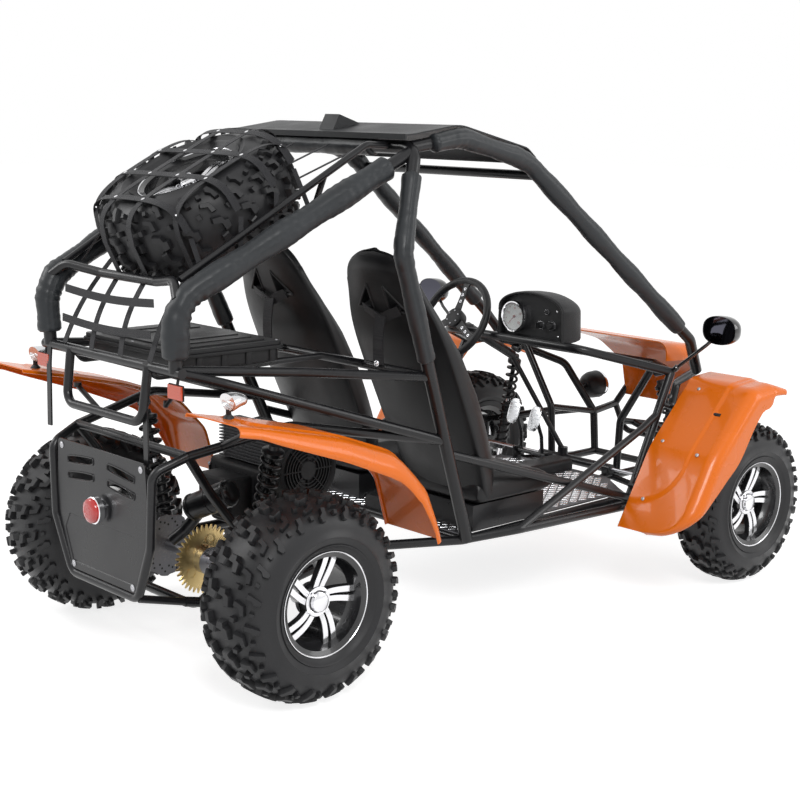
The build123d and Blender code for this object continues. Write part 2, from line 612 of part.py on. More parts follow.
# Front wheels on their spindles
SPINDLE_R = 12
FRONT_RIM_HALF = 78
FRONT_FACE = 35
centre = (FRONT_X, FRONT_TRACK / 2, FRONT_TYRE_R)
with BuildPart() as front_rim:
    add(rim_solid(centre, 1, FRONT_RIM_HALF, FRONT_FACE, SPINDLE_R + RUNNING).part)
    for inboard, outboard, size in ((24, -20, 60), (24, 20, 170)):
        ends = [(FRONT_X, centre[1] - reach, FRONT_TYRE_R) for reach in (inboard, outboard)]
        tube(ends, size, 0, 2 * (SPINDLE_R + RUNNING))
front_tyre = tyre_solid(centre, 1, FRONT_TYRE_R, FRONT_TYRE_W, FRONT_RIM_HALF)
for piece, stem in ((front_rim, "front_rim"), (front_tyre, "front_tyre")):
    with BuildPart() as left_wheel:
        add(piece.part)
    finish(left_wheel, f"{stem}_left")
    with BuildPart() as right_wheel:
        add(mirror(piece.part, about=Plane.XZ, mode=Mode.PRIVATE))
    finish(right_wheel, f"{stem}_right")

# Knuckles: kingpin post, spindle and steering arm
KNUCKLE_LOW = 205
KNUCKLE_HIGH = 345
STEER_ARM = 105
RACK_X = FRONT_X - STEER_ARM
RACK_Z = 304
RACK_PINION_Y = 60
TIE_ROD_R = 6
ROD_END = 16
ROD_END_Y = KINGPIN_Y - 30
ARM_TOP = RACK_Z - 8.5
for side, name in zip(SIDES, ("left", "right")):
    y = side * KINGPIN_Y
    with BuildPart() as knuckle:
        rod((FRONT_X, y, KNUCKLE_LOW), (FRONT_X, y, KNUCKLE_HIGH), 30)
        rod((FRONT_X, y, FRONT_TYRE_R), (FRONT_X, side * (FRONT_TRACK / 2 - 26), FRONT_TYRE_R), 40)
        tip = (FRONT_X, side * (FRONT_TRACK / 2 + FRONT_FACE - 6), FRONT_TYRE_R)
        rod((FRONT_X, y, FRONT_TYRE_R), tip, 2 * SPINDLE_R)
        inner = side * (ROD_END_Y - ROD_END / 2 - 2)
        block((RACK_X - ROD_END / 2 - 2, min(y, inner), ARM_TOP - 12), (FRONT_X, max(y, inner), ARM_TOP))
    finish(knuckle, f"knuckle_{name}")

# Wishbones from the front frame to the knuckles
ARM_TUBE = 22
ARM_LOW = KNUCKLE_LOW - 12 - SEAT_GAP
ARM_HIGH = KNUCKLE_HIGH + 12 + SEAT_GAP
with BuildPart() as front_arms:
    for side in SIDES:
        arms = ((-90, 150, FLOOR_Z, -9, ARM_LOW), (90, 150, FLOOR_Z, 9, ARM_LOW),
                (5, 163, 457, -8, ARM_HIGH), (100, 166, 438, 9, ARM_HIGH))
        for dx, inboard, z, tip_dx, tip in arms:
            arm = [(FRONT_X + dx, inboard, z), (FRONT_X + tip_dx, KINGPIN_Y - 14, tip)]
            tube(mirrored(arm, side), ARM_TUBE)
        for tip in (ARM_LOW, ARM_HIGH):
            rod((FRONT_X, side * KINGPIN_Y, tip - 12), (FRONT_X, side * KINGPIN_Y, tip + 12), 34)
    cope(front_frame, floor_frame)
finish(front_arms, "front_arms")

# Engine: one block with its fan cover, ribbed shroud and finned cylinder, over the drive case
with BuildPart() as engine:
    block((REAR_X + 150, -150, 330), (REAR_X + 400, 130, 520))
    fillet(engine.edges().filter_by(Axis.Y), 30)
    block((REAR_X + 60, -90, 380), (REAR_X + 160, 60, 500))
    rod(at(260, -215, 520), at(260, -150, 520), 210)
    rod(at(275, -150, 540), at(275, 60, 560), 150)
    for i in range(5):
        block((REAR_X + 175 + i * 16, -140, 520), (REAR_X + 181 + i * 16, 100, 640))
    block((REAR_X + 180, -120, 520), (REAR_X + 240, 90, 620))
    for y in (-110, 60):
        block((REAR_X + 385, y, FLOOR_Z - 5), (REAR_X + 425, y + 40, 345))
    cope(floor_frame, rear_frame)
finish(engine, "engine")

# Muffler lying crosswise with its outlet bent down
with BuildPart() as muffler:
    rod(at(-50, -70, 432), at(0, -205, 500), 76)
    tube([at(-30, -100, 420), at(-60, -60, 370), at(-90, -40, 340)], 34, 20)
    tube([at(-40, -100, 446), at(60, -60, 446)], 30)
    cope(rear_frame, engine)
finish(muffler, "muffler")

# Swing arm: two arms from the cradle to the bearing carriers, joined by a bowed tube
CARRIER_R = 38
CARRIER_Y = 205
with BuildPart() as swing_arm:
    for side in SIDES:
        ends = [(REAR_X, side * CARRIER_Y + shift, REAR_TYRE_R) for shift in (-35, 35)]
        tube(ends, 2 * CARRIER_R, 0, 2 * (AXLE_R + RUNNING))
        rod(*mirrored([at(CARRIER_R - 4, CARRIER_Y, 279), at(414, 180, 285)], side), 30)
    bow = [at(-20, CARRIER_Y - 8, 258), at(-85, 150, 182), at(-90, 60, 178)]
    tube(bow + mirrored(bow, -1)[::-1], 24, 40)
    cope(floor_frame, engine)
finish(swing_arm, "swing_arm")


def coil_over(low, high, coil, turns):
    """A damper between two eyes with its coil drawn as a stack of rings on the spring seat."""
    rod(low, high, 22)
    rod(between(low, high, 0.1), between(low, high, 0.5), 34)
    for i in range(turns):
        share = 0.16 + 0.7 * i / (turns - 1)
        rod(between(low, high, share), between(low, high, share + 0.035), coil)


with BuildPart() as rear_shocks:
    for side in SIDES:
        coil_over(*mirrored([at(70, 203, 281), between(at(100, 330, 690), CRADLE_NODE, 0.137)], side), 62, 9)
    cope(rear_frame, swing_arm)
finish(rear_shocks, "rear_shocks")
with BuildPart() as front_shocks:
    for side in SIDES:
        eyes = [ahead(-26, KINGPIN_Y - 93, 208), between(TOWER, POST_HEAD, 0.12)]
        coil_over(*mirrored(eyes, side), 50, 9)
    cope(front_frame, front_arms)
finish(front_shocks, "front_shocks")

# Steering: column tube, wheel with its shaft, and the rack with its tie rods
STEER_Y = 230
STEER_TILT = 28
hub = Vector(*at(1269, STEER_Y, 821))
shaft_dir = Vector(-cos(radians(STEER_TILT)), 0, sin(radians(STEER_TILT)))
wheel_face = Plane(origin=hub, x_dir=(0, 1, 0), z_dir=shaft_dir)
with BuildPart() as steering_wheel:
    with BuildSketch(Plane(origin=hub + Vector(0, 140, 0), x_dir=(0, 1, 0), z_dir=wheel_face.y_dir)):
        Circle(13)
    revolve(axis=Axis(hub, shaft_dir))
    with BuildSketch(wheel_face):
        Circle(36)
        with PolarLocations(0, 3, start_angle=90):
            with Locations((75, 0)):
                Rectangle(118, 24)
    extrude(amount=5, both=True)
    with BuildSketch(wheel_face):
        Circle(36)
    extrude(amount=-28)
    with BuildSketch(wheel_face):
        Circle(9)
    extrude(amount=-318)
finish(steering_wheel, "steering_wheel")
with BuildPart() as steering_column:
    with BuildSketch(wheel_face.offset(-70)):
        Circle(16)
    extrude(amount=-262)
    block((REAR_X + 1292, STEER_Y - 16, 764), (REAR_X + 1345, STEER_Y + 16, 796))
    column_end = wheel_face.offset(-326).origin
    tube([tuple(column_end), (RACK_X, RACK_PINION_Y, RACK_Z + 30)], 18)
    with BuildSketch(wheel_face.offset(-28)):
        Circle(9 + RUNNING)
    extrude(amount=-292, mode=Mode.SUBTRACT)
    cope(front_frame, dash_bar)
finish(steering_column, "steering_column")
with BuildPart() as steering_rack:
    tube([(RACK_X, -165, RACK_Z), (RACK_X, 165, RACK_Z)], 32)
    rod((RACK_X, RACK_PINION_Y, RACK_Z), (RACK_X, RACK_PINION_Y, RACK_Z + 40), 36)
    for side in SIDES:
        block((RACK_X - 20, side * 150 - 12, FLOOR_Z), (RACK_X + 20, side * 150 + 12, RACK_Z))
    with BuildSketch(Plane.XZ.offset(-170)):
        with Locations((RACK_X, RACK_Z)):
            Circle(TIE_ROD_R + RUNNING)
    extrude(amount=340, mode=Mode.SUBTRACT)
    cope(floor_frame, front_frame, steering_column, front_arms)
finish(steering_rack, "steering_rack")
with BuildPart() as tie_rods:
    rod((RACK_X, -ROD_END_Y, RACK_Z), (RACK_X, ROD_END_Y, RACK_Z), 2 * TIE_ROD_R)
    for side in SIDES:
        rod((RACK_X, side * ROD_END_Y, RACK_Z - 7), (RACK_X, side * ROD_END_Y, RACK_Z + 7), ROD_END)
finish(tie_rods, "tie_rods")

# Pedals on a cross shaft ahead of the driver
PEDAL_X = REAR_X + 1560
with BuildPart() as pedals:
    tube([(PEDAL_X + 20, 55, 320), (PEDAL_X + 20, 225, 320)], 16)
    for y, top in ((90, 455), (190, 470)):
        rod((PEDAL_X + 20, y, 320), (PEDAL_X - 15, y, top), 14)
        with BuildSketch(Plane(origin=(PEDAL_X - 22, y, top), x_dir=(0, 1, 0), z_dir=(-0.94, 0, 0.34))):
            RectangleRounded(56, 84, 8)
        extrude(amount=6)
    for y in (60, 212):
        block((PEDAL_X, y - 4, FLOOR_TOP + SEAT_GAP), (PEDAL_X + 40, y + 4, 334))
finish(pedals, "pedals")

# Dash pod on the dash bar: arched hood, dial with its bezel, key switch and knobs
POD_Y = -98
POD_BASE = DASH_CORNER[2] + 8
with BuildPart() as dash_pod:
    with BuildSketch(Plane(origin=(REAR_X + 1290, POD_Y, POD_BASE), x_dir=(0, -1, 0), z_dir=(-1, 0, 0))):
        with BuildLine():
            Polyline((-142, 105), (-150, 0), (150, 0), (142, 105))
            ThreePointArc((142, 105), (0, 157), (-142, 105))
        make_face()
    extrude(amount=-118, taper=8)
    with BuildSketch(Plane(origin=(REAR_X + 1290, POD_Y, POD_BASE), x_dir=(0, -1, 0), z_dir=(-1, 0, 0))):
        with BuildLine():
            Polyline((-132, 100), (-138, 10), (138, 10), (132, 100))
            ThreePointArc((132, 100), (0, 146), (-132, 100))
        make_face()
    extrude(amount=-16, mode=Mode.SUBTRACT)
    with BuildSketch(Plane(origin=(REAR_X + 1306, POD_Y, POD_BASE), x_dir=(0, -1, 0), z_dir=(-1, 0, 0))):
        with Locations((-72, 68)):
            Circle(52)
    extrude(amount=22)
    with BuildSketch(Plane(origin=(REAR_X + 1306, POD_Y, POD_BASE), x_dir=(0, -1, 0), z_dir=(-1, 0, 0))):
        with Locations((35, 50), (82, 50), (60, 92)):
            Circle(12)
    extrude(amount=18)
    cope(dash_bar)
finish(dash_pod, "dash_pod")

# Mirrors on stalks from the post heads
with BuildPart() as mirrors:
    for side in SIDES:
        head = Vector(*ahead(-182, side * 655, 855))
        tube([mirrored([POST_HEAD], side)[0], ahead(-190, side * 600, 800), tuple(head)], 12, 30)
        with BuildSketch(Plane(origin=head + Vector(-22, 0, 0), x_dir=(0, 1, 0), z_dir=(1, 0, 0))):
            RectangleRounded(126, 92, 36)
        extrude(amount=20)
        with BuildSketch(Plane(origin=head + Vector(-2, 0, 0), x_dir=(0, 1, 0), z_dir=(1, 0, 0))):
            RectangleRounded(126, 92, 36)
        extrude(amount=34, taper=28)
    cope(*side_frames.values(), roof_rails, dash_bar, front_frame)
finish(mirrors, "mirrors")

# Lamps: round tail lamp on the guard plate, two headlamps on brackets, signals on the rear fenders
LAMP_X = REAR_X + GUARD_X - SHEET
LAMP_Z = 458
LENS_DEPTH = 14
with BuildPart() as tail_lamp:
    lens_x = REAR_X - REAR_REACH + LENS_DEPTH
    for start, end, radius, draft in ((LAMP_X - SEAT_GAP, lens_x + 16, 30, 0), (lens_x + 16, lens_x, 38, 0),
                                      (lens_x, lens_x - LENS_DEPTH, 33, 25)):
        with BuildSketch(Plane((start, 0, LAMP_Z), x_dir=(0, 1, 0), z_dir=(-1, 0, 0))):
            Circle(radius)
        extrude(amount=start - end, taper=draft)
finish(tail_lamp, "tail_lamp")
with BuildPart() as headlamps:
    for side in SIDES:
        with BuildSketch(Plane(ahead(235, side * 235, 505), x_dir=(0, 1, 0), z_dir=(1, 0, 0))):
            Circle(52)
        extrude(amount=55)
        with BuildSketch(Plane(ahead(235, side * 235, 505), x_dir=(0, 1, 0), z_dir=(-1, 0, 0))):
            Circle(52)
        extrude(amount=26, taper=40)
        rod(ahead(225, side * 235, 505), ahead(157, side * 212, 505), 14)
    cope(front_frame)
finish(headlamps, "headlamps")
with BuildPart() as rear_signals:
    for side in SIDES:
        lamp_y = side * (REAR_FENDER_IN + 71)
        with BuildSketch(Plane(at(-190, lamp_y, 812), x_dir=(0, 1, 0), z_dir=(-1, 0, 0))):
            Circle(28)
        extrude(amount=46, taper=6)
        rod(at(-208, lamp_y, 812), at(-208, lamp_y, fender_top(-208) + 2.4), 14)
        block(at(-267, side * 323 - 30, 803), at(-258, side * 323 + 30, 841))
        block(at(-258, side * 323 - 8, 822), at(-250, side * 323 + 8, 860))
    cope(rear_stays, belt_rails, rear_frame, deck_rails)
finish(rear_signals, "rear_signals")

# Spare wheel on the rack, the same tyre as at the rear
spare_axis = (-sin(radians(SPARE_TILT)), 0, cos(radians(SPARE_TILT)))
spare_plane = Plane(origin=SPARE_CENTRE, x_dir=(0, 1, 0), z_dir=spare_axis)
turn_up = Location(spare_plane) * Location((0, 0, 0), (90, 0, 0))
level_tyre = tyre_solid((0, 0, 0), 1, REAR_TYRE_R, REAR_TYRE_W, REAR_RIM_HALF)
level_rim = rim_solid((0, 0, 0), 1, REAR_RIM_HALF, REAR_FACE, 10)
with BuildPart() as spare_tyre:
    add(level_tyre.part.moved(turn_up))
finish(spare_tyre, "spare_tyre")
with BuildPart() as spare_rim:
    add(level_rim.part.moved(turn_up))
finish(spare_rim, "spare_rim")

# Harness webbing: through the two holes of each seat and down to the crossbar behind it
for side, name in zip(SIDES, ("left", "right")):
    back = seat_back(side)
    with BuildPart() as harness:
        for hole in SIDES:
            with BuildSketch(back.offset(SEAT_GAP)):
                with Locations((hole * 54, 350)):
                    Rectangle(40, 395)
            extrude(amount=3)
            with BuildSketch(back.offset(-58)):
                with Locations((hole * 54, 544.5)):
                    Rectangle(40, 3)
            extrude(amount=61)
        with BuildSketch(back.offset(-58.5)):
            Polygon((-74, 546), (74, 546), (25, 470), (25, 455), (-25, 455), (-25, 470), align=None)
        extrude(amount=3)
        with BuildSketch(Plane(back.origin, x_dir=back.z_dir, z_dir=-back.x_dir)):
            Polygon((-58.5, 455), (-55.5, 455), (-55.5, 470), (-119, 476), (-119, 473), (-58.5, 467),
                    align=None)
        extrude(amount=24, both=True)
        cope(deck_rails)
    finish(harness, f"harness_{name}")

# Net of flat straps over the spare wheel and down to the crossbar at the tail
with BuildPart() as cargo_net:
    for y in (-210, -105, 0, 105, 210):
        rod(at(-258, y, 880), at(-240, y * 0.9, 1108), 8)
    for z, x in ((950, -255), (1030, -247)):
        rod(at(x, -214, z), at(x, 214, z), 7)
    cope(rear_stays, spare_rack)
finish(cargo_net, "cargo_net")
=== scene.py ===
"""Looks of a two-seat off-road buggy, laid out as an add-on: one operator for each group of pieces."""
import json
import math

import bpy
import numpy as np
from mathutils import Matrix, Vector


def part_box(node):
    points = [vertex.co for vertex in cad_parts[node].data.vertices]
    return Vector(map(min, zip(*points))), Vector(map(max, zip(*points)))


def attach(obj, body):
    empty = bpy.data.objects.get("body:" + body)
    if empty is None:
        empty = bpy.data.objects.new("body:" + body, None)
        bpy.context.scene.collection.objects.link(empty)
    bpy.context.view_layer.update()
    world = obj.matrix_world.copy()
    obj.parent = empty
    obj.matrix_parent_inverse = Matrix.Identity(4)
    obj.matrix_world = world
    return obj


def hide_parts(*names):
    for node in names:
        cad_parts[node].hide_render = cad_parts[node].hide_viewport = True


bl_info = {
    "name": "Off-road buggy",
    "version": (1, 0, 0),
    "blender": (4, 5, 0),
    "location": "View3D > Sidebar > Buggy",
    "description": "Dresses the packed frame of a two-seat buggy",
    "category": "Object",
}

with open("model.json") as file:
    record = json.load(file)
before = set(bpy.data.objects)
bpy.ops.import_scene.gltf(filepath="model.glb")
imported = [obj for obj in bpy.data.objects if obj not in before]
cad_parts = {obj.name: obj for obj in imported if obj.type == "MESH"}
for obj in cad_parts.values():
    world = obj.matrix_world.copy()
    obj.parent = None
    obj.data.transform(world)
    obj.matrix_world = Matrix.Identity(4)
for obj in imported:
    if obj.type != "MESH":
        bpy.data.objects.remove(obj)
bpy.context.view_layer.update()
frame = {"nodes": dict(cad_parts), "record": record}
MM = 0.001

# Places taken from the frame: the tyres' boxes give the axle lines and radii
REAR_LOW, REAR_HIGH = (np.array(c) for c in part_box("rear_tyres"))
FRONT_LOW, FRONT_HIGH = (np.array(c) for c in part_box("front_tyre_left"))
REAR_X = (REAR_LOW[0] + REAR_HIGH[0]) / 2
FRONT_X = (FRONT_LOW[0] + FRONT_HIGH[0]) / 2
REAR_R = (REAR_HIGH[2] - REAR_LOW[2]) / 2
FRONT_R = (FRONT_HIGH[2] - FRONT_LOW[2]) / 2
REAR_HALF_TRACK = 0.502
FRONT_HALF_TRACK = 0.621
REAR_TYRE_W = 0.250
FRONT_TYRE_W = 0.180
SPARE_CENTRE = np.array([REAR_X + 0.047, 0.0, 1.261])
SPARE_TILT = math.radians(27)

# Rims: half widths, and how far the spokes' faces stand outboard of the middle
REAR_RIM_HALF, REAR_RIM_FACE = 0.108, 0.065
FRONT_RIM_HALF, FRONT_RIM_FACE = 0.078, 0.035

# Tread: lugs round a tyre, the radius at which each tyre is widest, the angle from the crown that the tread
# reaches, and how fast the lugs grow lower towards it
TREAD_PITCHES = 20
REAR_WIDEST, FRONT_WIDEST = 0.182, 0.180
TREAD_ARC = 1.20
LUG_FADE = 0.8


def at(x, y, z):
    """A point in metres from millimetres, x measured from the rear axle."""
    return np.array([REAR_X + x * MM, y * MM, z * MM])


def ahead(x, y, z):
    """A point in metres from millimetres, x measured from the front axle."""
    return np.array([FRONT_X + x * MM, y * MM, z * MM])


def unit(v):
    """Vectors of an array scaled to length 1."""
    v = np.asarray(v, float)
    return v / np.linalg.norm(v, axis=-1, keepdims=True)


def bent_path(points, bend, step=0.01):
    """Straight runs between the points, joined at each corner by an arc that both runs touch."""
    points = np.array(points, float)
    bends = np.broadcast_to(np.array(bend, float), (max(len(points) - 2, 1),))
    pieces = [points[:1]]
    for corner, radius in zip(range(1, len(points) - 1), bends):
        back = unit(points[corner - 1] - points[corner])
        on = unit(points[corner + 1] - points[corner])
        half = np.arccos(np.clip(back @ on, -1, 1)) / 2
        middle = unit(back + on)
        centre = points[corner] + middle * radius / np.sin(half)
        sweep = np.pi / 2 - half
        across = unit(on - middle * (on @ middle))
        a = np.linspace(-sweep, sweep, 9)[:, None]
        pieces.append(centre - radius * (middle * np.cos(a) - across * np.sin(a)))
    pieces.append(points[-1:])
    line = np.concatenate(pieces)
    return even(line, step)


def even(line, step):
    """The same line with points at equal steps of its length."""
    run = np.concatenate([[0], np.cumsum(np.linalg.norm(np.diff(line, axis=0), axis=1))])
    s = np.linspace(0, run[-1], max(3, int(run[-1] / step) + 1))
    return np.stack([np.interp(s, run, line[:, k]) for k in range(3)], axis=1)


def lengths(path):
    """Distance along the path to each of its points."""
    return np.concatenate([[0], np.cumsum(np.linalg.norm(np.diff(path, axis=0), axis=1))])


def carried(path, section, side):
    """Grid of a section carried along a path: each point is path + a * normal + b * binormal.

    section is (stations or 1, points, 2); side is a direction that the path never runs along.
    """
    path = np.asarray(path, float)
    tangent = unit(np.gradient(path, axis=0))
    normal = unit(np.cross(tangent, np.broadcast_to(side, tangent.shape)))
    binormal = np.cross(tangent, normal)
    section = np.broadcast_to(section, (len(path),) + section.shape[1:])
    return (path[:, None] + section[..., :1] * normal[:, None] + section[..., 1:] * binormal[:, None])


def ring(radius, count=20):
    """Circle section of a tube: (radius cos a, radius sin a)."""
    a = np.linspace(0, 2 * np.pi, count, endpoint=False)
    return np.stack([radius * np.cos(a), radius * np.sin(a)], axis=-1)[None]


def grid_faces(rows, columns, close_rows=False, close_columns=True):
    """Quads between the neighbouring rows and columns of a grid."""
    u = np.arange(rows if close_rows else rows - 1)
    v = np.arange(columns if close_columns else columns - 1)
    u, v = np.meshgrid(u, v, indexing="ij")
    u2, v2 = (u + 1) % rows, (v + 1) % columns
    quads = np.stack([u * columns + v, u * columns + v2, u2 * columns + v2, u2 * columns + v], axis=-1)
    return quads.reshape(-1, 4).tolist()


def shell(grid, close_rows=False, close_columns=True, caps=True):
    """A grid of points as (vertices, faces), with its open ends capped."""
    rows, columns = grid.shape[:2]
    faces = grid_faces(rows, columns, close_rows, close_columns)
    if caps and close_columns and not close_rows:
        faces.append(list(range(columns))[::-1])
        faces.append([(rows - 1) * columns + i for i in range(columns)])
    return grid.reshape(-1, 3), faces


def tube(path, radius, side=(0.0, 1.0, 0.0), count=16):
    """A round bar along a path."""
    return shell(carried(path, ring(radius, count), np.array(side, float)))


def rod(a, b, radius, count=16, side=(0.31, 0.23, 0.92)):
    """A straight round bar."""
    return tube(np.linspace(a, b, 3), radius, side, count)


def slab(outline, offset, thickness):
    """A flat plate: an outline (n, 3) and the same outline moved by offset direction times thickness."""
    outline = np.array(outline, float)
    lift = np.array(offset, float) * thickness
    n = len(outline)
    faces = [[i, (i + 1) % n, n + (i + 1) % n, n + i] for i in range(n)]
    ends = [list(range(n))[::-1], [n + i for i in range(n)]]
    return np.concatenate([outline, outline + lift]), faces + ends


def joined(parts):
    """Several (vertices, faces) as one."""
    verts, faces, shift = [], [], 0
    for v, f in parts:
        verts.append(v)
        faces.extend([[i + shift for i in face] for face in f])
        shift += len(v)
    return np.concatenate(verts), faces


def piece(name, layers, materials, body, replaces=(), smooth=35, bevel=0.0):
    """Makes an object that rides on a body from layers: one list of (vertices, faces) for each material."""
    mesh = bpy.data.meshes.new(name)
    parts = [(joined(layer), index) for index, layer in enumerate(layers)]
    verts, faces = joined([p for p, _ in parts])
    mesh.from_pydata(verts.tolist(), [], faces)
    slots = np.concatenate([np.full(len(p[1]), index) for p, index in parts])
    mesh.polygons.foreach_set("material_index", slots.astype(np.int32))
    for material in materials:
        mesh.materials.append(material)
    mesh.validate()
    obj = bpy.data.objects.new(name, mesh)
    bpy.context.scene.collection.objects.link(obj)
    outward(obj)
    mesh.polygons.foreach_set("use_smooth", np.ones(len(mesh.polygons), bool))
    mesh.set_sharp_from_angle(angle=math.radians(smooth))
    if bevel:
        edge = obj.modifiers.new("Edge", "BEVEL")
        edge.width = bevel
        edge.segments = 2
        edge.limit_method = "ANGLE"
        edge.angle_limit = math.radians(40)
    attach(obj, body)
    if replaces:
        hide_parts(*replaces)
    return obj


def outward(obj):
    """Turns every face of an object outwards."""
    bpy.ops.object.select_all(action="DESELECT")
    obj.select_set(True)
    bpy.context.view_layer.objects.active = obj
    bpy.ops.object.mode_set(mode="EDIT")
    bpy.ops.mesh.select_all(action="SELECT")
    bpy.ops.mesh.normals_make_consistent(inside=False)
    bpy.ops.object.mode_set(mode="OBJECT")
    obj.select_set(False)


# Shader groups shared by the materials

def new_group(name, inputs, outputs):
    """An empty shader group with named sockets."""
    group = bpy.data.node_groups.new(name, "ShaderNodeTree")
    for label, kind, default in inputs:
        socket = group.interface.new_socket(name=label, in_out="INPUT", socket_type=kind)
        socket.default_value = default
    for label, kind in outputs:
        group.interface.new_socket(name=label, in_out="OUTPUT", socket_type=kind)
    return group, group.nodes.new("NodeGroupInput"), group.nodes.new("NodeGroupOutput")


def grain_group():
    """Fine pebbled grain and slow clouding over Object coordinates."""
    if "Grain" in bpy.data.node_groups:
        return bpy.data.node_groups["Grain"]
    group, inside, outside = new_group(
        "Grain", [("Scale", "NodeSocketFloat", 900.0), ("Cloud Scale", "NodeSocketFloat", 9.0)],
        [("Height", "NodeSocketFloat"), ("Cloud", "NodeSocketFloat")])
    link = group.links.new
    place = group.nodes.new("ShaderNodeTexCoord")
    cells = group.nodes.new("ShaderNodeTexVoronoi")
    cells.feature = "SMOOTH_F1"
    link(place.outputs["Object"], cells.inputs["Vector"])
    link(inside.outputs["Scale"], cells.inputs["Scale"])
    cloud = group.nodes.new("ShaderNodeTexNoise")
    cloud.inputs["Detail"].default_value = 5.0
    link(place.outputs["Object"], cloud.inputs["Vector"])
    link(inside.outputs["Cloud Scale"], cloud.inputs["Scale"])
    link(cells.outputs["Distance"], outside.inputs["Height"])
    link(cloud.outputs["Fac"], outside.inputs["Cloud"])
    return group


def wear_group():
    """Mask of small scuffs: ridged noise cut by a slow noise."""
    if "Wear" in bpy.data.node_groups:
        return bpy.data.node_groups["Wear"]
    group, inside, outside = new_group("Wear", [("Amount", "NodeSocketFloat", 0.3)],
                                       [("Mask", "NodeSocketFloat")])
    link = group.links.new
    place = group.nodes.new("ShaderNodeTexCoord")
    fine = group.nodes.new("ShaderNodeTexNoise")
    fine.inputs["Scale"].default_value = 140.0
    fine.inputs["Detail"].default_value = 8.0
    slow = group.nodes.new("ShaderNodeTexNoise")
    slow.inputs["Scale"].default_value = 6.0
    link(place.outputs["Object"], fine.inputs["Vector"])
    link(place.outputs["Object"], slow.inputs["Vector"])
    times = group.nodes.new("ShaderNodeMath")
    times.operation = "MULTIPLY"
    link(fine.outputs["Fac"], times.inputs[0])
    link(slow.outputs["Fac"], times.inputs[1])
    cut = group.nodes.new("ShaderNodeMapRange")
    cut.inputs["From Min"].default_value = 0.30
    cut.inputs["From Max"].default_value = 0.42
    link(times.outputs[0], cut.inputs["Value"])
    amount = group.nodes.new("ShaderNodeMath")
    amount.operation = "MULTIPLY"
    link(cut.outputs["Result"], amount.inputs[0])
    link(inside.outputs["Amount"], amount.inputs[1])
    link(amount.outputs[0], outside.inputs["Mask"])
    return group


def weave_group():
    """Height of a plain weave: two crossed waves over Object coordinates."""
    if "Weave" in bpy.data.node_groups:
        return bpy.data.node_groups["Weave"]
    group, inside, outside = new_group("Weave", [("Scale", "NodeSocketFloat", 500.0)],
                                       [("Height", "NodeSocketFloat")])
    link = group.links.new
    place = group.nodes.new("ShaderNodeTexCoord")
    waves = []
    for direction in ("X", "DIAGONAL"):
        wave = group.nodes.new("ShaderNodeTexWave")
        wave.bands_direction = direction
        link(place.outputs["Object"], wave.inputs["Vector"])
        link(inside.outputs["Scale"], wave.inputs["Scale"])
        waves.append(wave)
    both = group.nodes.new("ShaderNodeMath")
    both.operation = "MAXIMUM"
    link(waves[0].outputs["Fac"], both.inputs[0])
    link(waves[1].outputs["Fac"], both.inputs[1])
    link(both.outputs[0], outside.inputs["Height"])
    return group


def finish_material(name, colour, darker, rough, rough_to, metallic=0.0, grain=900.0, bump=0.1, wear=0.0,
                    worn=(0.3, 0.3, 0.3), coat=0.0, sheen=0.0, weave=0.0, cloud=9.0, depth=0.0006,
                    specular=0.5):
    """A finish clouded between two colours, with grain in its bump, a range of roughness and scuffs."""
    if name in bpy.data.materials:
        return bpy.data.materials[name]
    material = bpy.data.materials.new(name)
    material.use_nodes = True
    nodes, link = material.node_tree.nodes, material.node_tree.links.new
    shader = nodes["Principled BSDF"]
    shader.inputs["Metallic"].default_value = metallic
    shader.inputs["Coat Weight"].default_value = coat
    shader.inputs["Specular IOR Level"].default_value = specular
    shader.inputs["Sheen Weight"].default_value = sheen
    texture = nodes.new("ShaderNodeGroup")
    texture.node_tree = grain_group()
    texture.inputs["Scale"].default_value = grain
    texture.inputs["Cloud Scale"].default_value = cloud
    mix = nodes.new("ShaderNodeMix")
    mix.data_type = "RGBA"
    mix.inputs["A"].default_value = (*darker, 1)
    mix.inputs["B"].default_value = (*colour, 1)
    link(texture.outputs["Cloud"], mix.inputs["Factor"])
    out = mix.outputs["Result"]
    if wear:
        scuffs = nodes.new("ShaderNodeGroup")
        scuffs.node_tree = wear_group()
        scuffs.inputs["Amount"].default_value = wear
        worn_mix = nodes.new("ShaderNodeMix")
        worn_mix.data_type = "RGBA"
        worn_mix.inputs["B"].default_value = (*worn, 1)
        link(scuffs.outputs["Mask"], worn_mix.inputs["Factor"])
        link(out, worn_mix.inputs["A"])
        out = worn_mix.outputs["Result"]
    link(out, shader.inputs["Base Color"])
    span = nodes.new("ShaderNodeMapRange")
    span.inputs["From Min"].default_value = 0.35
    span.inputs["From Max"].default_value = 0.65
    span.inputs["To Min"].default_value = rough
    span.inputs["To Max"].default_value = rough_to
    link(texture.outputs["Cloud"], span.inputs["Value"])
    link(span.outputs["Result"], shader.inputs["Roughness"])
    relief = nodes.new("ShaderNodeBump")
    relief.inputs["Strength"].default_value = bump
    relief.inputs["Distance"].default_value = depth
    if weave:
        threads = nodes.new("ShaderNodeGroup")
        threads.node_tree = weave_group()
        threads.inputs["Scale"].default_value = weave
        link(threads.outputs["Height"], relief.inputs["Height"])
    else:
        link(texture.outputs["Height"], relief.inputs["Height"])
    link(relief.outputs["Normal"], shader.inputs["Normal"])
    return material


def black_paint():
    return finish_material("BlackPaint", (0.012, 0.012, 0.014), (0.007, 0.007, 0.008), 0.24, 0.36,
                           grain=1300.0, bump=0.08, coat=0.08, wear=0.12, worn=(0.06, 0.06, 0.065),
                           specular=0.35)


def pad_vinyl():
    return finish_material("PadVinyl", (0.024, 0.028, 0.032), (0.012, 0.014, 0.016), 0.34, 0.48, grain=1500.0,
                           bump=0.22, sheen=0.05, specular=0.4)


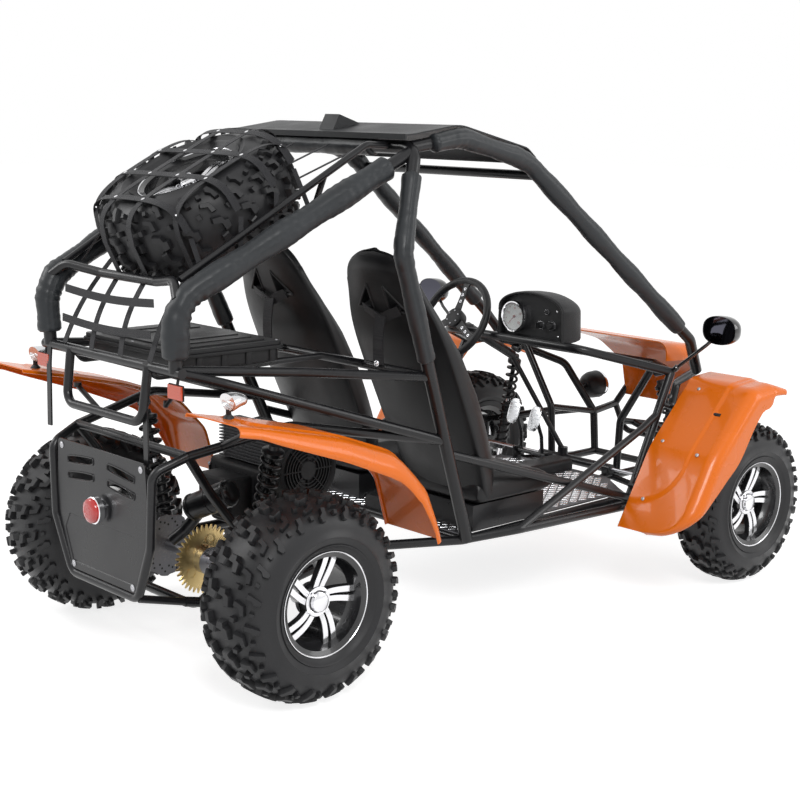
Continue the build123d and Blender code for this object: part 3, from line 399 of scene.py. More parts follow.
def seat_vinyl():
    return finish_material("SeatVinyl", (0.012, 0.012, 0.013), (0.006, 0.006, 0.007), 0.34, 0.46,
                           grain=1100.0, bump=0.2, specular=0.3)


def orange_moulding(colour=(1.0, 0.20, 0.002)):
    return finish_material("OrangeMoulding", colour, tuple(c * 0.95 for c in colour), 0.24, 0.32, grain=300.0,
                           bump=0.015, coat=0.25, specular=0.35)


def grained_plastic():
    return finish_material("GrainedPlastic", (0.014, 0.014, 0.015), (0.008, 0.008, 0.009), 0.40, 0.52,
                           grain=1800.0, bump=0.3, specular=0.35)


def roof_plastic():
    return finish_material("RoofPlastic", (0.018, 0.019, 0.021), (0.011, 0.012, 0.013), 0.42, 0.54,
                           grain=1200.0, bump=0.3, specular=0.35)


def tyre_rubber():
    return finish_material("TyreRubber", (0.018, 0.018, 0.020), (0.010, 0.010, 0.011), 0.40, 0.56,
                           grain=700.0, bump=0.15, wear=0.10, worn=(0.05, 0.05, 0.05), specular=0.4)


def machined():
    return finish_material("MachinedAlloy", (0.86, 0.86, 0.88), (0.78, 0.78, 0.80), 0.14, 0.24, metallic=1.0,
                           grain=220.0, bump=0.03)


def rim_black():
    return finish_material("RimBlack", (0.016, 0.016, 0.018), (0.010, 0.010, 0.011), 0.22, 0.32, grain=500.0,
                           bump=0.04, coat=0.5)


def bright_plate():
    return finish_material("BrightPlate", (0.80, 0.81, 0.83), (0.66, 0.67, 0.69), 0.18, 0.32, metallic=1.0,
                           grain=400.0, bump=0.08, wear=0.25, worn=(0.35, 0.34, 0.33))


# Dull steel of the brake disc; on the floor sheets it is painted shade between the tread plate's diamonds.
def dull_steel_and_floor_shade():
    return finish_material("DullSteelAndFloorShade", (0.16, 0.16, 0.17), (0.10, 0.10, 0.11), 0.35, 0.5, metallic=0.8,
                           grain=400.0, bump=0.1, wear=0.25, worn=(0.28, 0.27, 0.26))


def turned_steel():
    return finish_material("TurnedSteel", (0.52, 0.52, 0.54), (0.40, 0.40, 0.42), 0.25, 0.38, metallic=1.0,
                           grain=600.0, bump=0.05)


def yellow_zinc():
    return finish_material("YellowZinc", (0.70, 0.52, 0.20), (0.58, 0.44, 0.24), 0.25, 0.36, metallic=1.0,
                           grain=600.0, bump=0.05)


def chrome():
    return finish_material("Chrome", (0.88, 0.88, 0.90), (0.84, 0.84, 0.86), 0.05, 0.09, metallic=1.0,
                           grain=200.0, bump=0.01)


def cast_black():
    return finish_material("CastBlack", (0.012, 0.012, 0.013), (0.006, 0.006, 0.007), 0.45, 0.6, grain=600.0,
                           bump=0.35, wear=0.15, worn=(0.05, 0.05, 0.05), specular=0.3)


def cast_grey():
    return finish_material("CastGrey", (0.40, 0.40, 0.41), (0.28, 0.28, 0.29), 0.38, 0.5, metallic=1.0,
                           grain=500.0, bump=0.3)


def webbing():
    return finish_material("Webbing", (0.016, 0.016, 0.019), (0.009, 0.009, 0.011), 0.55, 0.7, grain=900.0,
                           bump=0.5, sheen=0.1, weave=520.0, specular=0.35)


def red_lens():
    return finish_material("RedLens", (0.75, 0.015, 0.01), (0.55, 0.01, 0.008), 0.08, 0.14, grain=260.0,
                           bump=0.25, coat=0.8, depth=0.001)


def pale_paper():
    return finish_material("PaleDial", (0.80, 0.81, 0.80), (0.74, 0.75, 0.74), 0.4, 0.5, grain=300.0,
                           bump=0.02)


def reflector():
    return finish_material("Reflector", (0.85, 0.10, 0.015), (0.66, 0.05, 0.010), 0.10, 0.18, grain=420.0,
                           bump=0.3, coat=0.7, depth=0.001)


def clear_lens():
    return finish_material("SilveredLens", (0.84, 0.85, 0.86), (0.70, 0.71, 0.73), 0.10, 0.20, metallic=0.75,
                           grain=240.0, bump=0.12, coat=0.8)


def clear_glass():
    return see_through(finish_material("ClearGlass", (0.97, 0.98, 0.98), (0.95, 0.96, 0.96), 0.02, 0.05,
                                       grain=120.0, bump=0.004))


def mirror_glass():
    return finish_material("MirrorGlass", (0.09, 0.09, 0.11), (0.07, 0.07, 0.09), 0.02, 0.05, metallic=1.0,
                           grain=90.0, bump=0.004)


def gloss_black():
    return finish_material("GlossBlack", (0.014, 0.014, 0.016), (0.009, 0.009, 0.010), 0.10, 0.18,
                           grain=160.0, bump=0.02, coat=0.8)


def red_ink():
    return finish_material("DialInk", (0.30, 0.03, 0.02), (0.22, 0.02, 0.02), 0.45, 0.55, grain=900.0,
                           bump=0.02)


def cast_grey_dark():
    return finish_material("CastGreyDark", (0.10, 0.10, 0.105), (0.06, 0.06, 0.064), 0.42, 0.55, metallic=0.6,
                           grain=520.0, bump=0.3)


def see_through(material):
    """Turns a finish into clear glass."""
    shader = material.node_tree.nodes["Principled BSDF"]
    shader.inputs["Transmission Weight"].default_value = 1.0
    shader.inputs["IOR"].default_value = 1.45
    return material


# Tyres

def section_points(turn, radius, width, widest):
    """Tread surface at an angle from the crown: y = half sin^0.78, r = widest + (radius - widest) cos^0.78.

    Returns the (y, r) points and the outward normals.
    """
    turn = np.clip(turn, -np.pi / 2, np.pi / 2)
    half = width / 2 - 0.001
    s, c = np.sin(turn), np.cos(turn)
    y = half * np.sign(s) * np.abs(s) ** 0.78
    r = widest + (radius - widest) * np.clip(c, 0, 1) ** 0.78
    ny = np.sign(s) * np.abs(s) ** 1.22 / half
    nr = np.clip(c, 0, 1) ** 1.22 / (radius - widest)
    return np.stack([y, r], axis=-1), unit(np.stack([ny, nr], axis=-1))


def tyre_profile(radius, width, rim_half, lug, widest):
    """Closed half section of the carcass as (y, r) points, with the raised rings of its sidewall."""
    half = width / 2
    seat = rim_half - 0.012
    side = np.array([(seat, 0.1275), (seat + 0.006, 0.1425), (half - 0.013, 0.155), (half - 0.0085, 0.1585),
                     (half - 0.0080, 0.1600), (half - 0.0105, 0.1612), (half - 0.0040, widest - 0.006),
                     (half - 0.0030, widest - 0.003), (half - 0.0060, widest)])
    turn = np.linspace(1.42, -1.42, 37)
    points, normals = section_points(turn, radius, width, widest)
    crown = points - normals * (lug * np.cos(turn * LUG_FADE) + 0.004)[:, None]
    return np.concatenate([side, crown, (side * [-1, 1])[::-1]])


# One pitch of tread, left half: outlines as (share of the pitch, share of the way from the crown to the
# tread's end)
CENTRE_LUG = [(0.05, 0.02), (0.26, 0.00), (0.31, 0.11), (0.58, 0.15), (0.56, 0.25), (0.26, 0.22),
              (0.20, 0.14), (0.06, 0.13)]
MIDDLE_LUG = [(0.30, 0.36), (0.46, 0.34), (0.51, 0.48), (0.76, 0.53), (0.74, 0.62), (0.42, 0.58),
              (0.36, 0.48)]
SMALL_LUG = [(0.80, 0.30), (0.94, 0.29), (0.98, 0.39), (0.84, 0.41)]
SHOULDER_LUG = [(0.02, 0.63), (0.18, 0.61), (0.24, 0.76), (0.38, 0.84), (0.37, 0.98), (0.22, 1.0),
                (0.10, 0.82)]
OUTER_LUG = [(0.60, 0.74), (0.74, 0.73), (0.77, 0.84), (0.64, 0.86)]


def lug_ring(outline, pitches, mirrored, radius, width, widest, lug):
    """One lug repeated round the tyre: its outline at the carcass, at its shoulder and at its top.

    Each layer lies at its own depth along the normals of the tread surface.
    """
    shape = np.array(outline)
    share, lateral = shape[:, 0], shape[:, 1]
    if mirrored:
        share, lateral = 1.5 - share, -lateral
    layers = []
    for grow, depth in ((1.12, 1.0), (1.0, 0.16), (0.90, 0.0)):
        s = share.mean() + (share - share.mean()) * grow
        q = lateral.mean() + (lateral - lateral.mean()) * grow
        points, normals = section_points(q * TREAD_ARC, radius, width, widest)
        height = lug * np.cos(q * TREAD_ARC * LUG_FADE) + 0.006
        points = points - normals * (depth * height)[:, None]
        layers.append(np.stack([s, points[:, 0], points[:, 1]], axis=1))
    layers = np.array(layers)
    turn = 2 * np.pi * (np.arange(pitches)[:, None, None] + layers[None, ..., 0]) / pitches
    r = np.broadcast_to(layers[None, ..., 2], turn.shape)
    y = np.broadcast_to(layers[None, ..., 1], turn.shape)
    verts = np.stack([r * np.cos(turn), y, r * np.sin(turn)], axis=-1)
    k = len(shape)
    base = grid_faces(3, k, close_columns=True) + [[2 * k + i for i in range(k)]]
    faces = [[i + n * 3 * k for i in face] for n in range(pitches) for face in base]
    return verts.reshape(-1, 3), faces


def tyre_parts(radius, width, rim_half, pitches, lug, widest):
    """A tyre round the Y axis at the origin: revolved carcass and rings of lugs."""
    profile = tyre_profile(radius, width, rim_half, lug, widest)
    a = np.linspace(0, 2 * np.pi, 120, endpoint=False)
    grid = np.stack([profile[None, :, 1] * np.cos(a)[:, None],
                     np.broadcast_to(profile[None, :, 0], (len(a), len(profile))),
                     profile[None, :, 1] * np.sin(a)[:, None]], axis=-1)
    parts = [shell(grid, close_rows=True, close_columns=True)]
    for outline in (CENTRE_LUG, MIDDLE_LUG, SMALL_LUG, SHOULDER_LUG, OUTER_LUG):
        for mirrored in (False, True):
            parts.append(lug_ring(outline, pitches, mirrored, radius, width, widest, lug))
    return parts


def placed(parts, centre, matrix=np.eye(3)):
    """Parts made at the origin, turned and moved to a centre."""
    return [(v @ np.asarray(matrix).T + np.asarray(centre), f) for v, f in parts]


def spare_matrix():
    """Turns the Y axis of a wheel to the spare's axis, tilted back from the vertical."""
    axis = np.array([-math.sin(SPARE_TILT), 0, math.cos(SPARE_TILT)])
    along = np.array([math.cos(SPARE_TILT), 0, math.sin(SPARE_TILT)])
    return np.stack([along, axis, np.cross(along, axis)], axis=1)


def make_tyres(sizes):
    """Four road wheels' tyres and the spare's, with hooked lugs."""
    rubber = [tyre_rubber()]
    rear = tyre_parts(REAR_R, REAR_TYRE_W, REAR_RIM_HALF, TREAD_PITCHES, sizes.rear_lug, REAR_WIDEST)
    front = tyre_parts(FRONT_R, FRONT_TYRE_W, FRONT_RIM_HALF, TREAD_PITCHES, sizes.front_lug, FRONT_WIDEST)
    both = []
    for side in (1, -1):
        both += placed(rear, (REAR_X, side * REAR_HALF_TRACK, REAR_R), np.diag([1, side, 1]))
    piece("tyres_rear", [both], rubber, "rear_wheels", ["rear_tyres"])
    for side, name in ((1, "left"), (-1, "right")):
        parts = placed(front, (FRONT_X, side * FRONT_HALF_TRACK, FRONT_R), np.diag([1, side, 1]))
        piece(f"tyre_front_{name}", [parts], rubber, f"wheel_front_{name}",
              [f"front_tyre_{name}"])
    piece("tyre_spare", [placed(rear, SPARE_CENTRE, spare_matrix())], rubber, "chassis",
          ["spare_tyre"])


# Rims

def rim_parts(rim_half, face, bore):
    """A cast rim round the Y axis: revolved barrel, five pairs of curved spokes, hub and cap.

    A spoke is a six-sided section carried along a line whose radius grows evenly while its angle bends back.
    """
    half = rim_half - 0.005
    barrel = [(-half, 0.140), (-half + 0.006, 0.127), (-half + 0.030, 0.127), (-half + 0.044, 0.114),
              (half - 0.044, 0.114), (half - 0.030, 0.127), (half - 0.006, 0.127), (half, 0.140),
              (half - 0.002, 0.1345), (half - 0.008, 0.124), (half - 0.030, 0.121), (half - 0.046, 0.109),
              (-half + 0.046, 0.109), (-half + 0.030, 0.122), (-half + 0.008, 0.122), (-half + 0.002, 0.135)]
    a = np.linspace(0, 2 * np.pi, 72, endpoint=False)

    def revolved(profile):
        line = np.array(profile)
        grid = np.stack([line[None, :, 1] * np.cos(a)[:, None],
                         np.broadcast_to(line[None, :, 0], (len(a), len(line))),
                         line[None, :, 1] * np.sin(a)[:, None]], axis=-1)
        return shell(grid, close_rows=True, close_columns=True)

    black = [revolved(barrel)]
    lip = [(half + 0.0002, 0.1402), (half + 0.0006, 0.1385), (half - 0.001, 0.1368), (half - 0.002, 0.1385)]
    bright = [revolved(lip)]
    for spoke in range(5):
        for hand in (-1, 1):
            s = np.linspace(0, 1, 14)
            radius = 0.034 + s * 0.088
            angle = 2 * np.pi * spoke / 5 + 0.26 * (1 - s) ** 1.5
            width = 0.0078 + 0.0010 * s
            front = face + 0.006 * np.sin(np.pi * s * 0.9) + 0.004 * s
            line = np.stack([radius * np.cos(angle), front, radius * np.sin(angle)], axis=1)
            along = unit(np.gradient(line * [1, 0, 1], axis=0))
            cross = np.cross(along, [0, 1, 0])
            line = line + cross * (hand * (0.0096 + 0.0042 * s))[:, None]
            out = np.array([0.0, 1.0, 0.0])

            def strip(table):
                rows = [line + cross * (w * width)[:, None] + out * d for w, d in table]
                return shell(np.stack(rows, axis=1))

            black.append(strip([(-1.0, -0.0012), (1.0, -0.0012), (1.15, -0.018), (-1.15, -0.018)]))
            bright.append(strip([(-0.92, 0.0), (0.92, 0.0), (1.0, -0.0014), (-1.0, -0.0014)]))
    black.append(revolved([(face - 0.022, bore), (face - 0.004, bore), (face - 0.004, 0.001),
                           (face + 0.002, 0.001), (face + 0.002, 0.040), (face - 0.006, 0.046),
                           (face - 0.022, 0.046)]))
    bright.append(revolved([(face + 0.001, 0.0405), (face + 0.0024, 0.0395), (face + 0.0024, 0.030),
                            (face + 0.001, 0.029)]))
    bright.append(revolved([(face + 0.002, 0.0265), (face + 0.014, 0.0255), (face + 0.0165, 0.022),
                            (face + 0.0168, 0.0004), (face + 0.002, 0.0004)]))
    for bolt in range(4):
        turn = 2 * np.pi * (bolt + 0.5) / 4
        spot = np.array([0.0345 * math.cos(turn), face + 0.001, 0.0345 * math.sin(turn)])
        bright.append(rod(spot, spot + [0, 0.009, 0], 0.0052, 6))
    return black, bright


def make_rims(sizes):
    """Machined rims in the four wheels and the spare."""
    finishes = [rim_black(), machined()]
    rear = rim_parts(REAR_RIM_HALF, REAR_RIM_FACE, 0.010)
    front = rim_parts(FRONT_RIM_HALF, FRONT_RIM_FACE, 0.0121)
    layers = [[], []]
    for side in (1, -1):
        for layer, parts in zip(layers, rear):
            layer += placed(parts, (REAR_X, side * REAR_HALF_TRACK, REAR_R), np.diag([1, side, 1]))
    piece("rims_rear", layers, finishes, "rear_wheels", ["rear_rims"])
    for side, name in ((1, "left"), (-1, "right")):
        layers = [placed(parts, (FRONT_X, side * FRONT_HALF_TRACK, FRONT_R), np.diag([1, side, 1]))
                  for parts in front]
        hub = np.array([FRONT_X, side * FRONT_HALF_TRACK, FRONT_R])
        inboard = np.array([0, side, 0])
        layers[0].append(rod(hub - inboard * 0.020, hub + inboard * 0.030, 0.030, 32))
        layers[1].append(rod(hub - inboard * 0.0238, hub - inboard * 0.0202, 0.085, 48))
        piece(f"rim_front_{name}", layers, finishes, f"wheel_front_{name}",
              [f"front_rim_{name}"])
    layers = [placed(parts, SPARE_CENTRE, spare_matrix()) for parts in rear]
    piece("rim_spare", layers, finishes, "chassis", ["spare_rim"])


# Cage routes, as the tubes run under their sleeves

HOOP_FOOT = at(706, 404, 280)
HOOP_SHOULDER = at(348, 497, 1150)
HOOP_TOP = at(478, 400, 1425)
STAY_BASE = at(-250, 306, 868)
STAY_BEND = at(-255, 315, 1045)
STAY_TOP = at(462, 394, 1410)
ROOF_RISE = at(650, 400, 1452)
ROOF_FALL = at(930, 395, 1385)
PILLAR_KNEE = ahead(-102, 470, 795)


def between(a, b, share):
    """The point at a share of the way from a to b."""
    return a + share * (b - a)


def at_height(a, b, z):
    """The point at height z on the line through a and b."""
    return between(a, b, (z - a[2]) / (b[2] - a[2]))


def sleeve(points, bend, radius, side, seed, wrinkle):
    """A padded sleeve: a tube that swells and puckers along its length, flattened along its laced seam.

    radius = r (1 + long swell + short puckers stronger in bends) less a notch at the seam's angle.
    """
    path = bent_path(points, bend, 0.006)
    run = lengths(path)
    a = np.linspace(0, 2 * np.pi, 36, endpoint=False)
    s, t = np.meshgrid(run, a, indexing="ij")
    rng = np.random.default_rng(seed)
    tangent = unit(np.gradient(path, axis=0))
    curving = np.linalg.norm(np.gradient(tangent, axis=0), axis=1)
    curving = np.convolve(curving / (curving.max() + 1e-6), np.ones(9) / 9, mode="same")[:, None]
    relief = 0.0 * s
    for _ in range(7):
        pitch = rng.uniform(0.018, 0.090)
        lean = rng.integers(-3, 4)
        size = rng.uniform(0.3, 1.0)
        wave = np.sin(2 * np.pi * s / pitch + lean * t + rng.uniform(0, 6.3))
        relief += size * wave * (0.35 + 0.9 * curving)
    relief *= wrinkle / 3.0
    relief += wrinkle * 0.8 * np.sin(2 * np.pi * s / 0.21 + 1.7 * seed)
    seam = np.exp(-((np.angle(np.exp(1j * (t - 1.2)))) / 0.10) ** 2)
    stitch = 0.5 + 0.5 * np.sin(2 * np.pi * s / 0.022)
    r = radius - wrinkle - 0.0008 + relief - seam * (0.0022 + 0.0016 * stitch)
    ends = np.minimum(s / 0.010, (run[-1] - s) / 0.010).clip(0, 1)
    r = r - 0.007 * (1 - np.sqrt(1 - (1 - ends) ** 2))
    section = np.stack([r * np.cos(t), r * np.sin(t)], axis=-1)
    return shell(carried(path, section, np.array(side, float)))


def make_pads(sizes):
    """Vinyl sleeves on the hoop, the roof rails and pillars, and the rear stays."""
    vinyl = [pad_vinyl()]
    wrinkle = sizes.wrinkle
    flip = np.array([1, -1, 1])
    hoop, pillars, stays = [], [], []
    for side, turn in ((1, np.ones(3)), (-1, flip)):
        start = at_height(HOOP_FOOT, HOOP_SHOULDER, 0.845)
        legs = np.array([start, HOOP_SHOULDER, between(HOOP_SHOULDER, HOOP_TOP, 0.74)]) * turn
        hoop.append(sleeve(legs, 0.06, 0.029, (0, 1, 0), 3 + side, wrinkle * 0.6))
        rise = between(HOOP_TOP, ROOF_RISE, 0.38)
        run = np.array([rise, ROOF_RISE, ROOF_FALL, between(ROOF_FALL, PILLAR_KNEE, 0.93)]) * turn
        pillars.append(sleeve(run, [0.15, 0.25], 0.031, (0, 1, 0), 7 + side, wrinkle * 0.8))
        low = between(STAY_BASE, STAY_BEND, 0.2)
        route = np.array([low, STAY_BEND, between(STAY_BEND, STAY_TOP, 0.9)]) * turn
        stays.append(sleeve(route, 0.11, 0.038, (0, 1, 0), 12 + side, wrinkle))
    top = np.array([[HOOP_TOP[0], 0.235, HOOP_TOP[2]], [HOOP_TOP[0], -0.235, HOOP_TOP[2]]])
    hoop.append(sleeve(top, 0.05, 0.031, (1, 0, 0), 21, wrinkle * 0.6))
    for name, parts, node in (("sleeves_hoop", hoop, "hoop_pads"), ("sleeves_pillar", pillars, "pillar_pads"),
                              ("sleeves_stay", stays, "stay_pads")):
        made = piece(name, [parts], vinyl, "chassis", [node], smooth=70)


# Net over the spare wheel

def spare_height(r):
    """Height over the spare's middle plane at radius r: a superellipse that falls to nought at the tread."""
    reach = REAR_R + 0.005
    return 0.128 * (1 - np.clip(r / reach, 0, 1) ** 7) ** (1 / 3.0)


def over_spare(p, q):
    """Points over the spare from plan positions p, q in its own plane."""
    matrix = spare_matrix()
    h = spare_height(np.hypot(p, q))
    local = np.stack([p, h, q], axis=-1)
    return local @ matrix.T + SPARE_CENTRE


def ribbon(path, across, width, thick):
    """A flat strap: a thin rectangle carried along a path, its width along across."""
    path = np.asarray(path, float)
    tangent = unit(np.gradient(path, axis=0))
    across = np.broadcast_to(across, path.shape)
    flat = unit(across - tangent * np.sum(across * tangent, axis=1, keepdims=True))
    lift = np.cross(tangent, flat)
    rows = [path + flat * (width / 2 * a) + lift * (thick * b) for a, b in ((-1, 0), (1, 0), (1, 1), (-1, 1))]
    return shell(np.stack(rows, axis=1))


def make_net(sizes):
    """Flat straps over the spare wheel and down to the crossbar, riveted where they cross."""
    width, thick = sizes.strap_width, 0.0018
    straps, rivets = [], []
    matrix = spare_matrix()
    edge = REAR_R + 0.004
    lines = np.array([-0.19, -0.065, 0.065, 0.19])
    crossbar = at(-262, 0, 884)
    for q in lines:
        chord = math.sqrt(edge ** 2 - q ** 2)
        p = np.linspace(-chord, chord, 50)
        top = over_spare(p, np.full(50, q))
        rim_edge = np.array([-chord, -0.06, q]) @ matrix.T + SPARE_CENTRE
        foot = np.array([crossbar[0], q * -1.1, crossbar[2]])
        hang = np.linspace(foot, rim_edge, 24)
        hang[:, 0] -= 0.018 * np.sin(np.linspace(0, np.pi, 24))
        straps.append(ribbon(np.concatenate([hang, top]), (0, 1, 0), width, thick))
        front = np.array([chord, -0.02, q]) @ matrix.T + SPARE_CENTRE
        anchor = at(440, 0, 1425) + np.array([0, q * -1.2, 0])
        straps.append(ribbon(np.linspace(front, anchor, 12), (0, 1, 0), width * 0.5, thick))
        for p_cross in lines:
            spot = over_spare(np.array([p_cross]), np.array([q]))[0]
            rivets.append(rod(spot, spot + matrix[:, 1] * 0.0045, 0.0055, 12))
    for p in lines:
        chord = math.sqrt(edge ** 2 - p ** 2)
        q = np.linspace(-chord, chord, 50)
        straps.append(ribbon(over_spare(np.full(50, p), q) + matrix[:, 1] * 0.002, matrix[:, 0], width,
                             thick))
        for end in (-1, 1):
            start = np.array([p, 0.02, end * chord]) @ matrix.T + SPARE_CENTRE
            low = np.array([start[0] - 0.02, -end * 0.300, start[2] - 0.10])
            straps.append(ribbon(np.linspace(start, low, 10), matrix[:, 0], width * 0.6, thick))
    for z, x in ((0.955, -0.258), (1.035, -0.247)):
        y = np.linspace(-0.215, 0.215, 30)
        sag = np.stack([np.full(30, REAR_X + x - 0.006), y, z - 0.010 * np.cos(y / 0.215 * np.pi / 2)],
                       axis=1)
        straps.append(ribbon(sag, (0, 0, 1), width, thick))
    piece("net_straps", [straps, rivets], [webbing(), chrome()], "chassis", ["cargo_net"],
          smooth=40)


# Mouldings

def rounded_side(points, bends, step=0.008):
    """Side line in the XZ plane, its corners rounded, with the normals on its left as it runs."""
    flat = np.array(points, float) * MM
    path = bent_path(np.stack([flat[:, 0], np.zeros(len(flat)), flat[:, 1]], axis=1), np.array(bends) * MM,
                     step)
    run = unit(np.gradient(path, axis=0))
    return path[:, [0, 2]], np.stack([-run[:, 2], run[:, 0]], axis=1)


def depth_to(points, normals, edge):
    """Distance from each point, against its normal, to the nearest run of the edge that the ray meets."""
    edge = np.array(edge, float) * MM
    a, b = edge[:-1], edge[1:]
    d, e = -normals[:, None], (b - a)[None]
    w = a[None] - points[:, None]
    cross = d[..., 0] * e[..., 1] - d[..., 1] * e[..., 0]
    cross = np.where(np.abs(cross) < 1e-9, 1e-9, cross)
    t = (w[..., 0] * e[..., 1] - w[..., 1] * e[..., 0]) / cross
    u = (w[..., 0] * d[..., 1] - w[..., 1] * d[..., 0]) / cross
    t = np.where((u >= -0.001) & (u <= 1.001) & (t > 0.002), t, np.inf)
    found = t.min(axis=1)
    return np.where(np.isfinite(found), found, np.nan)


def step_up(x, width):
    """Smooth step from 0 to 1 over the width."""
    s = np.clip(x / width, 0, 1)
    return s * s * (3 - 2 * s)


def raised_panel(along, across, low, high, inboard, outboard, corner, width=0.007):
    """1 inside a rounded panel and 0 outside it: distance inside = corner - length of the corner overlap."""
    left = np.minimum(along - low, high - along)
    side = np.minimum(across - inboard, outboard - across)
    over = np.hypot(np.maximum(corner - left, 0), np.maximum(corner - side, 0))
    return step_up(corner - over, width)


def fender_shell(line, bends, edge, y_in, y_out, shoulder, panels, lip=0.010, wall=0.0035, corner_cut=0.0,
                 sweep=(1.0, 0.0)):
    """A fender: across the top from its inboard lip, round the shoulder and down the skirt to the edge.

    Point = side line at s - normal * depth(s, y), with a raised panel taken off the depth. Past the sweep's
    start, s is drawn back in proportion to y, so that the end is cut at a slant.
    """
    points, normals = rounded_side(line, bends)
    run = lengths(np.stack([points[:, 0], points[:, 0] * 0, points[:, 1]], axis=1))
    skirt = depth_to(points, normals, edge)
    good = np.isfinite(skirt)
    skirt = np.interp(run, run[good], skirt[good])
    skirt = np.convolve(np.pad(skirt, 4, mode="edge"), np.ones(9) / 9, mode="valid")
    skirt = np.maximum(skirt, shoulder * 0.5)
    r = np.minimum(shoulder, skirt * 0.9)[:, None]
    if corner_cut:
        left = np.clip(corner_cut - run, 0, corner_cut)[:, None]
        y_out = y_out - 1.25 * (corner_cut - np.sqrt(corner_cut ** 2 - left ** 2))
    inner = np.array([[0.0, lip], [0.0015, 0.0035], [0.006, 0.0]])
    flat = np.linspace(0.010, 1.0, 44)
    a = np.linspace(0.08, np.pi / 2, 9)
    y_flat = y_in + 0.006 + flat[None] * (y_out - r - y_in - 0.006)
    y_arc = y_out - r + r * np.sin(a)[None]
    d_arc = r - r * np.cos(a)[None]
    share = np.linspace(0.12, 1.0, 7)[None]
    d_skirt = r + share * (skirt[:, None] - r)
    lift = 0.0
    for low, high, inboard, outboard, corner, height in panels:
        low_at, high_at = low * run[-1], high * run[-1]
        inside = raised_panel(run[:, None], y_flat - y_in, low_at, high_at, inboard, outboard, corner)
        lift = lift + height * inside
    d_flat = 0.004 - lift
    ease = 0.004 * (1 - step_up(a / a[-1], 1.0))[None]
    y = np.concatenate([y_in + np.broadcast_to(inner[:, 0], (len(run), 3)), y_flat, y_arc,
                        y_out + 0.0 * d_skirt - 0.002 * share], axis=1)
    d = np.concatenate([np.broadcast_to(inner[:, 1] + 0.004, (len(run), 3)),
                        np.broadcast_to(d_flat, y_flat.shape), d_arc + ease, d_skirt], axis=1)
    outer = np.stack([y, d], axis=-1)
    tangent = unit(np.gradient(outer, axis=1))
    inside = outer + wall * np.stack([-tangent[..., 1], tangent[..., 0]], axis=-1)
    loop = np.concatenate([outer, inside[:, ::-1]], axis=1)
    start, share = sweep[0] * run[-1], sweep[1]
    back = np.clip((loop[..., 0] - y_in) / (np.max(y_out) - y_in), 0, 1)
    at_run = run[:, None] - np.maximum(run[:, None] - start, 0) * share * back
    x = np.interp(at_run, run, points[:, 0]) - np.interp(at_run, run, normals[:, 0]) * loop[..., 1]
    z = np.interp(at_run, run, points[:, 1]) - np.interp(at_run, run, normals[:, 1]) * loop[..., 1]
    return shell(np.stack([x, loop[..., 0], z], axis=-1))


def dome_bolt(spot, normal, radius=0.006, height=0.004):
    """A round-headed bolt: radius falls as sqrt(1 - t^2) over its height."""
    normal = unit(normal)
    t = np.array([-0.6, 0.0, 0.35, 0.7, 0.9, 0.999])
    line = np.asarray(spot)[None] + normal[None] * (t * height)[:, None]
    section = ring(1.0, 12) * (radius * np.sqrt(1 - np.clip(t, 0, 1) ** 2))[:, None, None]
    return shell(carried(line, section, np.array([0.31, 0.52, 0.79])))


def flipped(parts):
    """Mirror image across the middle plane."""
    return [(v * [1, -1, 1], f) for v, f in parts]


# Fenders: side line from end to end, bends at its corners and lower edge, in mm as (x from the axle, z)
REAR_FENDER_LINE = [(-286, 790), (-180, 768), (60, 711), (250, 641), (352, 532), (396, 385)]
REAR_FENDER_BENDS = [200, 500, 150, 90]
REAR_FENDER_EDGE = [(-300, 700), (-290, 772), (-176, 727), (45, 650), (178, 596), (253, 557), (312, 492),
                    (350, 428), (372, 372), (420, 330)]
FRONT_FENDER_BENDS = [300, 60, 60]
FRONT_FENDER_LINE = [(-482, 240), (-335, 480), (-136, 676), (-30, 684), (195, 606)]
FRONT_FENDER_EDGE = [(-478, 200), (-440, 262), (-330, 350), (-206, 447), (-137, 550), (-90, 602), (60, 610),
                     (230, 575), (300, 560)]


def shifted(line, x):
    """Side line points in mm, moved so that x is measured in the shared frame."""
    return [(x / MM + px, pz) for px, pz in line]


